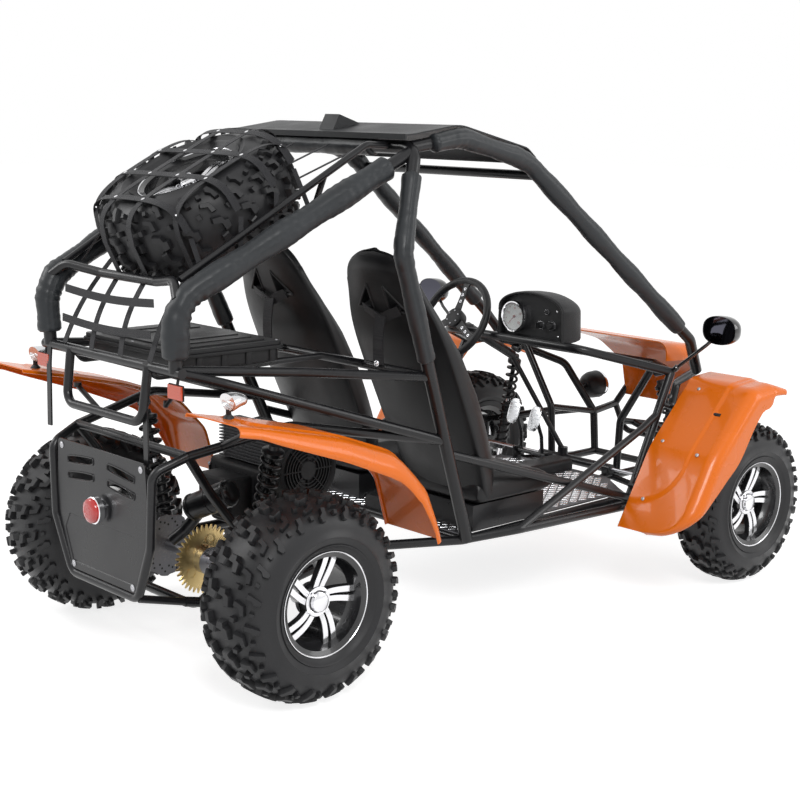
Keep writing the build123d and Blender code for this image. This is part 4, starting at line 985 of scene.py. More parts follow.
def make_fenders(sizes, colours):
    """Orange fenders with raised panels, and their bolts."""
    orange = [orange_moulding(tuple(colours.moulding)), turned_steel()]
    rear = [fender_shell(shifted(REAR_FENDER_LINE, REAR_X), REAR_FENDER_BENDS,
                         shifted(REAR_FENDER_EDGE, REAR_X), 0.400, 0.632, 0.060,
                         [(0.09, 0.78, 0.012, 0.178, 0.050, 0.0055)])]
    front = [fender_shell(shifted(FRONT_FENDER_LINE, FRONT_X), FRONT_FENDER_BENDS,
                          shifted(FRONT_FENDER_EDGE, FRONT_X), 0.500, 0.765, 0.045,
                          [(0.10, 0.995, -0.2, 0.168, 0.150, 0.004),
                           (0.60, 0.995, -0.2, 0.185, 0.030, 0.0035)], corner_cut=0.125, sweep=(0.66, 0.55))]
    points, normals = rounded_side(shifted(REAR_FENDER_LINE, REAR_X), REAR_FENDER_BENDS)
    rear_bolts = []
    for x, y in ((-0.100, 0.428), (0.220, 0.424)):
        i = int(np.argmin(np.abs(points[:, 0] - REAR_X - x)))
        rear_bolts.append(dome_bolt((points[i, 0], y, points[i, 1]), (normals[i, 0], 0, normals[i, 1]), 0.007,
                                    0.004))
    points, normals = rounded_side(shifted(FRONT_FENDER_LINE, FRONT_X), FRONT_FENDER_BENDS)
    front_bolts = []
    for z, y in ((0.500, 0.543), (0.482, 0.690), (0.330, 0.560), (0.650, 0.560)):
        i = int(np.argmin(np.abs(points[:, 1] - z)))
        spot = np.array([points[i, 0], y, points[i, 1]])
        front_bolts.append(dome_bolt(spot, np.array([normals[i, 0], 0, normals[i, 1]]), 0.0065, 0.004))
    for side, name in ((1, "left"), (-1, "right")):
        turn = (lambda p: p) if side == 1 else flipped
        piece(f"fender_rear_{name}", [turn(rear), turn(rear_bolts)], orange, "chassis",
              [f"rear_fender_{name}"], smooth=50)
        piece(f"fender_front_{name}", [turn(front), turn(front_bolts)], orange, "chassis",
              [f"front_fender_{name}"], smooth=50)


# Tail: guard plate, lamp, signals

def turned(profile, centre, axis, count=48, start=(0.0, 0.0, 1.0)):
    """A profile of (along, radius) rows revolved about an axis; one that stays clear of it is a ring."""
    axis = unit(axis)
    u = unit(np.cross(axis, start) if abs(np.dot(axis, start)) < 0.95 else np.cross(axis, (1.0, 0, 0)))
    v = np.cross(axis, u)
    a = np.linspace(0, 2 * np.pi, count, endpoint=False)
    rows = np.array(profile, float)
    spokes = np.cos(a)[:, None] * u + np.sin(a)[:, None] * v
    grid = np.asarray(centre) + rows[:, None, :1] * axis + rows[:, None, 1:2] * spokes[None]
    return shell(grid, close_rows=min(rows[0, 1], rows[-1, 1]) > 0.003)


def make_tail(sizes):
    """Tail lamp in its chrome shell, corner bolts, signals and reflectors."""
    x_face = REAR_X - 0.288
    back = np.array([-1.0, 0, 0])
    centre = np.array([x_face, 0, 0.458])
    chrome_shell = [turned([(0.0, 0.001), (0.0, 0.030), (0.006, 0.0315), (0.010, 0.036), (0.012, 0.0378),
                            (0.027, 0.0378), (0.029, 0.036), (0.029, 0.030), (0.026, 0.029), (0.026, 0.001)],
                           centre, back, 56)]
    lens = [turned([(0.0262, 0.001), (0.0262, 0.0345), (0.030, 0.0345), (0.036, 0.0335), (0.0395, 0.030),
                    (0.0415, 0.020), (0.042, 0.008), (0.042, 0.0005)], centre, back, 56)]
    for r in (0.010, 0.018, 0.026):
        a = np.linspace(0, 2 * np.pi, 41)[:-1]
        depth = 0.0418 - 0.004 * (r / 0.030) ** 4
        loop = centre + np.stack([np.full(40, -depth), r * np.cos(a), r * np.sin(a)], axis=1)
        grid = carried(np.concatenate([loop, loop[:1]]), ring(0.0009, 6), np.array([1.0, 0, 0]))[:-1]
        lens.append(shell(grid, close_rows=True))
    lens.append(rod(centre + [-0.030, -0.0335, 0], centre + [-0.030, 0.0335, 0], 0.0008, 6))
    piece("tail_lamp_shell", [lens, chrome_shell], [red_lens(), chrome()], "chassis",
          ["tail_lamp"], smooth=40)

    bolts = []
    for y, z in ((0.196, 0.602), (0.148, 0.272)):
        for side in (1, -1):
            bolts.append(dome_bolt((x_face, side * y, z), back, 0.0072, 0.004))
            bolts.append(turned([(0.0, 0.0085), (0.0012, 0.0095), (0.0012, 0.004), (0.0, 0.004)],
                                (x_face, side * y, z), back, 20))
    ribs = []
    for side in (1, -1):
        for z in (0.575, 0.530):
            lean = math.radians(-6 * side)
            a = np.linspace(0, 2 * np.pi, 49)[:-1]
            stadium = np.stack([np.clip(1.6 * np.cos(a), -1, 1) * 0.058 + 0.008 * np.cos(a),
                                0.0115 * np.sin(a)], axis=1)
            c, s = math.cos(lean), math.sin(lean)
            y = side * 0.100 + stadium[:, 0] * c - stadium[:, 1] * s
            zz = z + stadium[:, 0] * s + stadium[:, 1] * c
            loop = np.stack([np.full(48, x_face - 0.0005), y, zz], axis=1)
            grid = carried(np.concatenate([loop, loop[:1]]), ring(0.0022, 8), np.array([1.0, 0, 0]))[:-1]
            ribs.append(shell(grid, close_rows=True))
    for top, low in ((at(-262, -184, 878), at(-272, -197, 612)), (at(-262, 293, 878), at(-272, 289, 640))):
        path = bent_path([top, between(top, low, 0.25) + [-0.003, 0, 0], low], 0.2, 0.02)
        ribs.append(ribbon(path, (0, 1, 0), 0.020, 0.005))
    piece("plate_trim", [bolts, ribs], [turned_steel(), black_paint()], "chassis", smooth=40)

    clear, red, black = [], [], []
    for side in (1, -1):
        base = at(-208, side * 471, 812)
        t = np.linspace(0, 1, 12)
        body = np.stack([-0.052 * t + 0.050, t * 0, 0.004 * np.sin(t * np.pi)], axis=1) + base
        swell = 0.010 + 0.018 * np.sqrt(np.clip(t * 1.02, 0, 1))
        section = np.stack([ring(1.0, 28)[0, :, 0][None] * swell[:, None] * 0.85,
                            ring(1.0, 28)[0, :, 1][None] * swell[:, None] * 1.15], axis=-1)
        clear.append(shell(carried(body, section, np.array([0, 1.0, 0]))))
        for k in range(6):
            r = (0.004 + 0.0042 * k)
            a = np.linspace(0, 2 * np.pi, 33)
            loop = base + np.stack([np.full(33, -0.0022), r * 0.95 * np.cos(a), r * 0.80 * np.sin(a)], axis=1)
            clear.append(shell(carried(loop, ring(0.0012, 6), np.array([1.0, 0, 0]))[:-1], close_rows=True))
        black.append(rod(base - [0.0, 0, 0.018], base - [0.0, 0, 0.044], 0.007, 20))
        black.append(turned([(0, 0.001), (0, 0.016), (0.005, 0.014), (0.012, 0.008), (0.012, 0.001)],
                            base - [0.0, 0, 0.0425], (0, 0, 1.0), 24))
        plate = at(-262.5, side * 323, 822)
        corners = np.array([(-0.030, -0.018), (0.030, -0.018), (0.030, 0.018), (-0.030, 0.018)])
        red.append(slab([plate + [0, y, z] for y, z in corners], (-1.0, 0, 0), 0.0045))
        rim = np.array([(-0.032, -0.020), (0.032, -0.020), (0.032, 0.020), (-0.032, 0.020)])
        black.append(slab([plate + [0.0005, y, z] for y, z in rim], (1.0, 0, 0), 0.0035))
        for k in range(5):
            z = -0.0144 + 0.0072 * k
            bar = ((-0.028, -0.0024), (0.028, -0.0024), (0.028, 0.0024), (-0.028, 0.0024))
            red.append(slab([plate + [-0.0042, y, z + dz] for y, dz in bar], (-1.0, 0, 0), 0.0008))
        black.append(rod(plate + [0.004, 0, 0.012], plate + [0.011, 0, 0.046], 0.004, 12))
    piece("signals_rear", [red, clear, black], [reflector(), clear_lens(), grained_plastic()], "chassis",
          ["rear_signals"], smooth=40)


# Seats and harness

SEAT_BASE = np.array([REAR_X + 0.789, 0.0, 0.425])
SEAT_UP = np.array([-math.sin(math.radians(24)), 0, math.cos(math.radians(24))])
SEAT_OUT = np.array([math.cos(math.radians(24)), 0, math.sin(math.radians(24))])
SEAT_Y = 0.257


def on_seat(side, u, v, w):
    """Points of a seat from u to the left, v up its back and w forward of its back plane."""
    u, v, w = np.broadcast_arrays(u, v, w)
    return (SEAT_BASE + [0, side * SEAT_Y, 0] + u[..., None] * np.array([0, 1.0, 0]) + v[..., None] * SEAT_UP
            + w[..., None] * SEAT_OUT)


def seat_back_shell(side):
    """Seat back: closed sections stacked up the back, that close at its rounded top.

    Front of a section = cushion - dip in the middle + bolster; back = gentle curve.
    """
    v = np.concatenate([np.linspace(-0.02, 0.69, 60),
                        0.69 + 0.098 * np.sin(np.linspace(0.04, np.pi / 2, 20))])
    half = np.interp(v, [-0.02, 0.05, 0.20, 0.45, 0.55, 0.60, 0.66, 0.72, 0.80],
                     [0.160, 0.180, 0.196, 0.200, 0.192, 0.176, 0.152, 0.134, 0.122])
    half = np.convolve(np.pad(half, 4, mode="edge"), np.ones(9) / 9, mode="valid")
    fall = np.clip((v - 0.685) / 0.1032, 0, 1)
    half = half * np.sqrt(np.clip(1 - fall ** 2.4, 0.0004, 1))
    a = np.linspace(0, 2 * np.pi, 72, endpoint=False)
    c, s = np.cos(a), np.sin(a)
    u = np.sign(c) * np.abs(c) ** 0.6
    wing = np.interp(v, [-0.02, 0.05, 0.30, 0.45, 0.56, 0.64],
                     [0.030, 0.052, 0.058, 0.040, 0.012, 0.0])[:, None]
    ease = np.sqrt(np.clip(1 - np.clip((v - 0.728) / 0.0602, 0, 1) ** 2, 0.0025, 1))[:, None]
    bolster = wing * np.exp(-((np.abs(u) - 0.86) / 0.17) ** 2)[None]
    front = (0.004 + 0.004 * np.cos(u * np.pi / 2))[None] + bolster
    channel = 0.004 * np.exp(-((np.abs(u) - 0.62) / 0.05) ** 2)[None] * (v < 0.5)[:, None]
    back = -(0.036 + 0.016 * (1 - np.abs(u) ** 2.2))[None] * ease
    middle = -0.020
    up = np.clip(s, 0, 1) ** 0.45
    down = np.clip(-s, 0, 1) ** 0.45
    w = middle + up[None] * (front - channel - middle) * ease + down[None] * (back - middle)
    return shell(on_seat(side, half[:, None] * u[None], np.broadcast_to(v[:, None], w.shape), w))


def seat_cushion(side):
    """Seat cushion: closed sections along its length, crowned in the middle with a roll at each side."""
    x = np.concatenate([[0.738, 0.744, 0.755], np.linspace(0.775, 1.03, 24), [1.050, 1.063, 1.070, 1.073]])
    end = np.minimum(np.clip((x - 0.735) / 0.03, 0, 1), np.clip((1.0745 - x) / 0.045, 0, 1))
    ease = np.sqrt(np.clip(1 - (1 - end) ** 2, 0.01, 1))[:, None]
    a = np.linspace(0, 2 * np.pi, 72, endpoint=False)
    c, s = np.cos(a), np.sin(a)
    u = np.sign(c) * np.abs(c) ** 0.5
    roll = 0.038 * np.exp(-((np.abs(u) - 0.84) / 0.17) ** 2)
    top = 0.436 + roll[None] * np.clip((1.06 - x) / 0.12, 0, 1)[:, None] + 0.006 * np.cos(u * np.pi / 2)[None]
    seams = 0.0035 * (np.exp(-((np.abs(u) - 0.60) / 0.04) ** 2)[None]
                      + np.exp(-((x - 0.905) / 0.006) ** 2)[:, None] * (np.abs(u) < 0.6)[None])
    low, middle = 0.373, 0.405
    up, down = np.clip(s, 0, 1) ** 0.45, np.clip(-s, 0, 1) ** 0.45
    z = middle + up[None] * (top - seams - middle) * ease - down[None] * (middle - low) * ease
    y = side * SEAT_Y + (0.163 * u)[None] * (0.94 + 0.06 * ease)
    grid = np.stack([np.broadcast_to(REAR_X + x[:, None], z.shape), np.broadcast_to(y, z.shape), z], axis=-1)
    return shell(grid)


def applied(obj):
    """The object's mesh with its modifiers worked in."""
    graph = bpy.context.evaluated_depsgraph_get()
    mesh = bpy.data.meshes.new_from_object(obj.evaluated_get(graph))
    obj.modifiers.clear()
    obj.data = mesh
    return obj


def make_seats(sizes):
    """Seats with two see-through holes, and the harness webbing through them."""
    for side, name in ((1, "left"), (-1, "right")):
        obj = piece(f"seat_back_{name}", [[seat_back_shell(side)]], [seat_vinyl()], "chassis",
                    [f"seat_{name}"], smooth=60)
        holes = []
        for hand in (1, -1):
            tri = np.array([(0.037, 0.618), (0.094, 0.618), (0.037, 0.684)])
            low, high = (on_seat(side, hand * tri[:, 0], tri[:, 1], np.full(3, w)) for w in (-0.09, 0.09))
            holes.append((np.concatenate([low, high]),
                          [[2, 1, 0], [3, 4, 5], [0, 1, 4, 3], [1, 2, 5, 4], [2, 0, 3, 5]]))
        mesh = bpy.data.meshes.new("cutter")
        verts, faces = joined(holes)
        mesh.from_pydata(verts.tolist(), [], faces)
        cutter = bpy.data.objects.new("cutter", mesh)
        bpy.context.scene.collection.objects.link(cutter)
        outward(cutter)
        cut = obj.modifiers.new("Holes", "BOOLEAN")
        cut.operation = "DIFFERENCE"
        cut.object = cutter
        bpy.context.view_layer.update()
        applied(obj)
        bpy.data.objects.remove(cutter)
        obj.data.set_sharp_from_angle(angle=math.radians(55))
        rims = []
        for hand in (1, -1):
            tri = np.array([(0.034, 0.614), (0.102, 0.614), (0.034, 0.693), (0.034, 0.614)])
            pts = on_seat(side, hand * tri[:, 0], tri[:, 1],
                          np.interp(tri[:, 0], [0.02, 0.1], [-0.0520, -0.0470]))
            rims.append(tube(even(pts, 0.004), 0.0035, tuple(SEAT_OUT), 10))
        cushion = piece(f"seat_cushion_{name}", [[seat_cushion(side)]], [seat_vinyl()], "chassis",
                        smooth=60)
        piece(f"seat_rims_{name}", [rims], [grained_plastic()], "chassis", smooth=60)
        straps, bright = [], []
        for hand in (1, -1):
            u = hand * 0.062
            front = on_seat(side, np.full(34, u), np.linspace(0.16, 0.624, 34),
                            0.014 + 0.003 * np.sin(np.linspace(0, 9, 34)))
            straps.append(ribbon(front, (0, 1, 0), 0.040, 0.002))
            neck = np.linspace(0, 1, 12)
            through = on_seat(side, np.full(12, u), 0.6215 + 0 * neck, 0.014 - 0.068 * neck)
            straps.append(ribbon(through, (0, 1, 0), 0.038, 0.002))
            fall = np.linspace(0, 1, 22)
            behind = on_seat(side, u * (1 - fall) + hand * 0.014 * (1 - fall), 0.617 - 0.028 * fall ** 1.3,
                             -0.0535 - 0.010 * np.sin(fall * np.pi / 2))
            straps.append(ribbon(behind, SEAT_UP + np.array([0, hand * 0.25, 0]), 0.030, 0.002))
        drop = np.linspace(0, 1, 30)
        crossbar = np.array([REAR_X + 0.494, side * SEAT_Y, 0.800])
        top = on_seat(side, 0.0, 0.602, -0.064)
        run = top + drop[:, None] * (crossbar + [-0.014, 0, 0.006] - top)
        run[:, 0] -= 0.006 * np.sin(drop * np.pi)
        straps.append(ribbon(run, (0, 1, 0), 0.042, 0.003))
        bright.append(dome_bolt(crossbar + [-0.020, 0, 0.012], (-1.0, 0, 0.2), 0.010, 0.007))
        piece(f"harness_straps_{name}", [straps, bright], [webbing(), chrome()], "chassis",
              [f"harness_{name}"], smooth=50)


# Cabin

def make_floor(sizes):
    """Tread plates: the two floor sheets with raised diamonds on them, every second point of a grid. The
    sheets take a dark metal and the diamonds a bright one, which paints shade between the diamonds.
    """
    top = 0.2923
    plates, bars = [], []
    outline = np.array([(0.700, 0.048), (0.700, 0.385), (1.470, 0.372), (1.592, 0.200), (1.592, 0.048)])
    for side in (1, -1):
        corners = np.stack([REAR_X + outline[:, 0], side * outline[:, 1], np.full(5, top - 0.004)], axis=1)
        plates.append(slab(corners, (0, 0, 1.0), 0.004))
        pitch = sizes.tread_pitch
        gx, gy = np.meshgrid(np.arange(0.722, 1.580, pitch / 2), np.arange(0.064, 0.372, pitch * 0.36),
                             indexing="ij")
        odd = (np.round((gx - 0.722) / pitch * 2) + np.round((gy - 0.064) / pitch / 0.36)) % 2 < 0.5
        gx, gy = gx[odd], gy[odd]
        keep = (gy + 0.016 < np.interp(gx + 0.010, [1.44, 1.592], [0.366, 0.190])) & (gx < 1.566)
        gx, gy = gx[keep], gy[keep]
        around = np.array([(-1, 0), (-0.12, -0.9), (0.12, -0.9), (1, 0), (0.12, 0.9), (-0.12, 0.9)])
        layers = []
        for grow, z in ((1.0, 0.0), (0.95, 0.0012), (0.84, 0.0018)):
            x = gx[:, None] + around[:, 0] * pitch * 0.43 * grow
            y = gy[:, None] + around[:, 1] * pitch * 0.33 * grow
            layers.append(np.stack([REAR_X + x, side * y, np.full_like(x, top + z)], axis=-1))
        verts = np.stack(layers, axis=1).reshape(-1, 3)
        base = grid_faces(3, 6) + [[12, 13, 14, 15, 16, 17]]
        bars.append((verts, [[i + n * 18 for i in face] for n in range(len(gx)) for face in base]))
    # The sheets in the dull metal are painted shade between the diamonds; the diamonds keep the plate's
    # bright metal.
    piece("tread_plates", [plates, bars], [dull_steel_and_floor_shade(), bright_plate()], "chassis",
          ["floor_panels"], smooth=30)


def rounded_box(low, high, radius, count=8, taper=0.0):
    """Upright box with rounded corners: its outline is carried up, drawn in round both ends."""
    low, high = np.array(low, float), np.array(high, float)
    a = np.linspace(0, np.pi / 2, count)
    arc = np.stack([np.cos(a), np.sin(a)], axis=1)
    centre, half = (low + high) / 2, (high - low) / 2
    quads = []
    for k in range(4):
        c, s = math.cos(k * math.pi / 2), math.sin(k * math.pi / 2)
        turn = arc @ np.array([[c, s], [-s, c]])
        corner = np.sign(np.round(np.array([c - s, s + c]), 3)) * (half[:2] - radius)
        quads.append(corner + radius * turn)
    outline = np.concatenate(quads)
    ease = min(radius, half[2]) * 0.35
    b = np.linspace(0, np.pi / 2, 5)
    rise = np.concatenate([low[2] + ease * (1 - np.cos(b)), high[2] - ease * (1 - np.cos(b[::-1]))])
    draw = np.concatenate([ease * (1 - np.sin(b)), ease * (1 - np.sin(b[::-1]))]) + taper * (rise - low[2])
    pull = unit(outline - np.sign(outline) * (half[:2] - radius).clip(0.0001))
    grid = np.stack([centre[0] + outline[None, :, 0] - draw[:, None] * pull[None, :, 0],
                     centre[1] + outline[None, :, 1] - draw[:, None] * pull[None, :, 1],
                     np.broadcast_to(rise[:, None], (len(rise), len(outline)))], axis=-1)
    return shell(grid)


def make_box(sizes):
    """Storage box on the rear deck: tub, rolled rim, ribbed lid and screws."""
    tub = [rounded_box((REAR_X - 0.185, -0.225, 0.848), (REAR_X + 0.150, 0.225, 0.893), 0.020)]
    rim = [rounded_box((REAR_X - 0.195, -0.235, 0.884), (REAR_X + 0.160, 0.235, 0.894), 0.018)]
    lid = [rounded_box((REAR_X - 0.191, -0.231, 0.8935), (REAR_X + 0.156, 0.231, 0.905), 0.020),
           rounded_box((REAR_X - 0.160, -0.200, 0.903), (REAR_X + 0.125, 0.200, 0.909), 0.022)]
    for y in (-0.15, -0.09, 0.09, 0.15):
        lid.append(rounded_box((REAR_X - 0.140, y - 0.008, 0.907), (REAR_X + 0.105, y + 0.008, 0.9115),
                               0.0075))
    for x in (-0.12, -0.04, 0.04, 0.12):
        tub.append(rounded_box((REAR_X + x - 0.010, -0.230, 0.850), (REAR_X + x + 0.010, 0.230, 0.884),
                               0.004))
    screws = [dome_bolt((REAR_X + x, y, 0.9045), (0, 0, 1.0), 0.005, 0.003)
              for x in (-0.178, 0.143) for y in (-0.215, 0.0, 0.215)]
    piece("storage_tub", [tub + rim + lid, screws], [grained_plastic(), turned_steel()], "chassis",
          ["storage_box"], smooth=40)


def make_steering(sizes):
    """Hand wheel with a grained grip and three drilled spokes, on its boss."""
    tilt = math.radians(28)
    axis = np.array([-math.cos(tilt), 0, math.sin(tilt)])
    up = np.array([math.sin(tilt), 0, math.cos(tilt)])
    hub = at(1269, 230, 821)
    left = np.array([0, 1.0, 0])
    a = np.linspace(0, 2 * np.pi, 121)[:-1]
    t = np.linspace(0, 2 * np.pi, 24, endpoint=False)
    bump = 0.0012 * np.maximum(0, np.cos(18 * a))[:, None] * (np.cos(t)[None] < -0.2)
    r = 0.0128 + bump
    radial = np.cos(a)[:, None] * left + np.sin(a)[:, None] * up
    grid = (hub + (0.140 + r * np.cos(t)[None])[..., None] * radial[:, None]
            + (r * np.sin(t)[None])[..., None] * axis)
    grip = [shell(grid, close_rows=True)]
    spokes, bright = [], []
    for k in range(3):
        b = math.radians(90 + 120 * k)
        out = math.cos(b) * left + math.sin(b) * up
        cross = np.cross(axis, out)
        s = np.linspace(0.020, 0.134, 16)
        width = np.interp(s, [0.02, 0.06, 0.10, 0.134], [0.017, 0.0125, 0.0115, 0.016])
        rows = [hub + out * s[:, None] + cross * (w * width)[:, None]
                + axis * (d + 0.004 - 0.05 * (0.134 - s)[:, None] * 0.1)
                for w, d in ((-1, -0.003), (1, -0.003), (0.9, 0.001), (-0.9, 0.001))]
        spokes.append(shell(np.stack(rows, axis=1)))
        for s0 in (0.062, 0.086, 0.108):
            bright.append(turned([(0.0003, 0.0052), (0.0016, 0.0050), (0.0016, 0.0034), (0.0003, 0.0034)],
                                 hub + out * s0 + axis * 0.0035, axis, 18))
    boss = [turned([(-0.026, 0.001), (-0.026, 0.030), (-0.010, 0.034), (0.004, 0.036), (0.010, 0.034),
                    (0.013, 0.028), (0.014, 0.001)], hub, axis, 48)]
    for k in range(6):
        b = math.radians(60 * k + 30)
        bright.append(dome_bolt(hub + (math.cos(b) * left + math.sin(b) * up) * 0.0235 + axis * 0.0135, axis,
                                0.0032, 0.003))
    shaft = [rod(hub - axis * 0.318, hub - axis * 0.024, 0.009, 20)]
    piece("hand_wheel_rim", [grip + boss + spokes, bright, shaft],
          [grained_plastic(), turned_steel(), black_paint()], "hand_wheel",
          ["steering_wheel"], smooth=40)


# Digits of the dial: the strokes that each digit uses, and each stroke's ends on a grid 1 wide and 2 high
SEGMENTS = {"0": "abcdef", "2": "abged", "4": "fgbc", "6": "afgedc", "8": "abcdefg"}
STROKES = {"a": ((0, 2), (1, 2)), "b": ((1, 2), (1, 1)), "c": ((1, 1), (1, 0)), "d": ((1, 0), (0, 0)),
           "e": ((0, 0), (0, 1)), "f": ((0, 1), (0, 2)), "g": ((0, 1), (1, 1))}


def make_dash(sizes):
    """Dash pod: arched shell with a hooded lip, dial in a bright bezel, key switch and two knobs."""
    face_x = REAR_X + 1.290
    y0, z0 = -0.098, 0.786
    a = np.linspace(0, np.pi, 40)
    arch = np.stack([0.146 * np.cos(a) * (1 - 0.03 * np.sin(a)), 0.100 + 0.057 * np.sin(a)], axis=1)
    base = np.stack([np.linspace(-0.150, 0.150, 24), np.full(24, 0.0)], axis=1)
    left = np.stack([np.linspace(-0.146, -0.150, 8)[1:-1], np.linspace(0.100, 0.0, 8)[1:-1]], axis=1)
    right = np.stack([np.linspace(0.150, 0.146, 8)[1:-1], np.linspace(0.0, 0.100, 8)[1:-1]], axis=1)
    outline = np.concatenate([arch, left, base, right])
    middle = np.array([0.0, 0.062])

    def loop(scale, x, lift=0.0):
        p = middle + (outline - middle) * scale
        p[:, 1] = np.maximum(p[:, 1] + lift, 0.0)
        return np.stack([np.full(len(p), face_x + x), y0 - p[:, 0], z0 + p[:, 1]], axis=1)

    rows = [(0.865, 0.020), (0.90, 0.018), (0.915, 0.004), (0.93, 0.0008), (0.965, 0.0), (0.992, 0.003),
            (1.0, 0.010), (0.998, 0.030), (0.975, 0.062), (0.93, 0.090), (0.86, 0.108), (0.74, 0.117),
            (0.5, 0.118)]
    pod = [shell(np.stack([loop(s, x) for s, x in rows]))]
    hood = loop(0.955, 0.001)[:41]
    pod.append(tube(even(hood, 0.006), 0.0035, (1.0, 0, 0), 10))
    back = np.array([-1.0, 0, 0])
    dial = np.array([face_x + 0.020, y0 + 0.072, z0 + 0.068])
    bright = [turned([(-0.002, 0.046), (0.012, 0.052), (0.022, 0.053), (0.027, 0.051), (0.028, 0.047),
                      (0.024, 0.0445), (0.018, 0.0440), (0.010, 0.044)], dial, back, 56)]
    pale = [turned([(0.0165, 0.0005), (0.0165, 0.0442), (0.010, 0.0442)], dial, back, 48)]
    marks = []
    for k in range(41):
        b = math.radians(225 - 270 * k / 40)
        out = np.array([0, -math.cos(b), math.sin(b)])
        inner = 0.034 if k % 5 == 0 else 0.0375
        w = 0.0007 if k % 5 == 0 else 0.0004
        cross = np.cross(back, out) * w
        p = dial + back * 0.0167
        marks.append(slab([p + out * inner - cross, p + out * inner + cross, p + out * 0.041 + cross,
                           p + out * 0.041 - cross], back, 0.0003))
    for k, text in enumerate(("0", "20", "40", "60", "80")):
        b = math.radians(225 - 270 * k / 4)
        place = dial + back * 0.0168 + np.array([0, -math.cos(b), math.sin(b)]) * 0.0275
        for n, digit in enumerate(text):
            shift = (n - (len(text) - 1) / 2) * 0.0052
            for stroke in SEGMENTS[digit]:
                ends = [place + np.array([0, -(shift + (h - 0.5) * 0.0034), (v - 1) * 0.0030])
                        for h, v in STROKES[stroke]]
                marks.append(rod(ends[0], ends[1], 0.0004, 6, (1.0, 0.1, 0.1)))
    needle = math.radians(225)
    out = np.array([0, -math.cos(needle), math.sin(needle)])
    pin, half = dial + back * 0.0185, np.cross(back, out) * 0.0018
    marks.append(slab([pin + out * 0.036, pin + half - out * 0.006, pin - half - out * 0.006], back, 0.0008))
    marks.append(turned([(0.0165, 0.0005), (0.0165, 0.0045), (0.0215, 0.0038), (0.0215, 0.0005)], dial, back,
                        20))
    glass_front = turned([(0.0225, 0.0005), (0.0225, 0.0440), (0.0236, 0.0436), (0.0240, 0.0300),
                          (0.0242, 0.0005)], dial, back, 48)
    knobs = []
    for y, z, r, depth in ((-0.035, 0.050, 0.012, 0.016), (-0.082, 0.052, 0.014, 0.018),
                           (-0.060, 0.094, 0.008, 0.010)):
        spot = np.array([face_x + 0.020, y0 + y, z0 + z])
        bright.append(turned([(-0.002, r * 0.6), (0.003, r * 1.25), (0.006, r * 1.2), (0.006, r * 0.6)], spot,
                             back, 32))
        knobs.append(turned([(0.004, 0.0005), (0.004, r * 0.95), (depth * 0.8, r * 0.85), (depth, r * 0.7),
                             (depth, 0.0005)], spot, back, 24))
    key = np.array([face_x + 0.020, y0 - 0.035, z0 + 0.050])
    knobs.append(slab([key + [-0.016, 0.0012, 0.010], key + [-0.016, -0.0012, 0.010],
                       key + [-0.016, -0.0012, -0.010], key + [-0.016, 0.0012, -0.010]], back, 0.014))
    for y, z in ((0.128, 0.014), (-0.128, 0.014), (0.120, 0.105), (-0.120, 0.105)):
        bright.append(dome_bolt((face_x + 0.0195, y0 + y * 0.85, z0 + 0.006 + z * 0.9), back, 0.004, 0.003))
    plate = [slab(loop(0.868, 0.0185), (1.0, 0, 0), 0.006)]
    piece("dash_shell", [pod + plate + knobs, bright, pale, marks],
          [grained_plastic(), chrome(), pale_paper(), red_ink()], "chassis", ["dash_pod"],
          smooth=40)
    piece("dial_glass", [[glass_front]], [clear_glass()], "chassis", smooth=60)


# Running gear

def coil_parts(low, high, coil_r, wire, turns):
    """Damper body, rod, eyes, seats and a helical spring whose angle grows evenly with its height."""
    low, high = np.array(low), np.array(high)
    run = np.linalg.norm(high - low)
    axis = (high - low) / run
    u = unit(np.cross(axis, [0.3, 0.9, 0.1]))
    v = np.cross(axis, u)
    s0, s1 = 0.14, 0.88
    a = np.linspace(0, 2 * np.pi * turns, int(26 * turns))
    share = np.clip((a / a[-1] - 0.06) / 0.88, 0, 1) * (s1 - s0 - 2 * wire / run) + s0 + wire / run
    line = low + axis * (share * run)[:, None] + coil_r * (np.cos(a)[:, None] * u + np.sin(a)[:, None] * v)
    spring = [shell(carried(line, ring(wire, 10), axis))]
    metal = [turned([(0.01, 0.001), (0.01, 0.0105), (run * 0.55, 0.0105), (run * 0.55, 0.001)], low, axis,
                    24)]
    body = [turned([(run * 0.10, 0.0012), (run * 0.10, 0.017), (run * 0.13, 0.0185),
                    (run * 0.14, coil_r + wire), (run * 0.155, coil_r + wire), (run * 0.156, 0.0185),
                    (run * 0.50, 0.0175), (run * 0.52, 0.013), (run * 0.52, 0.0012)], low, axis, 36),
            turned([(run * 0.865, 0.0012), (run * 0.865, coil_r + wire), (run * 0.885, coil_r + wire),
                    (run * 0.90, 0.016), (run * 0.93, 0.014), (run * 0.93, 0.0012)], low, axis, 36)]
    body.append(turned([(run * 0.5, 0.001), (run * 0.5, 0.0085), (run * 0.88, 0.0085), (run * 0.88, 0.001)],
                       low, axis, 24))
    for end in (low, high):
        cross = unit(np.cross(axis, [1.0, 0, 0]))
        body.append(turned([(-0.014, 0.006), (-0.014, 0.0145), (0.014, 0.0145), (0.014, 0.006)],
                           end + axis * (0.004 if end is low else -0.004), cross, 24))
    return spring, metal, body


def make_shocks(sizes):
    """Coil-over dampers at both ends."""
    cradle = at(-192, 270, 636)
    rear_top = between(at(100, 330, 690), cradle, 0.137)
    tower, head = ahead(-60, 300, 690), ahead(-194, 470, 697)
    front_top = between(tower, head, 0.12)
    for name, low, high, coil, wire, turns, node in (
            ("springs_rear", at(70, 203, 281), rear_top, 0.0250, 0.0062, 10.5, "rear_shocks"),
            ("springs_front", ahead(-26, 455, 208), front_top, 0.0200, 0.0050, 12.5, "front_shocks")):
        low = between(low, high, 0.035)
        layers = coil_parts(low, between(low, high, 0.955), coil, wire, turns)
        both = [layer + flipped(layer) for layer in layers]
        piece(name, [both[0] + both[2], both[1]], [black_paint(), chrome()], "chassis", [node],
              smooth=40)


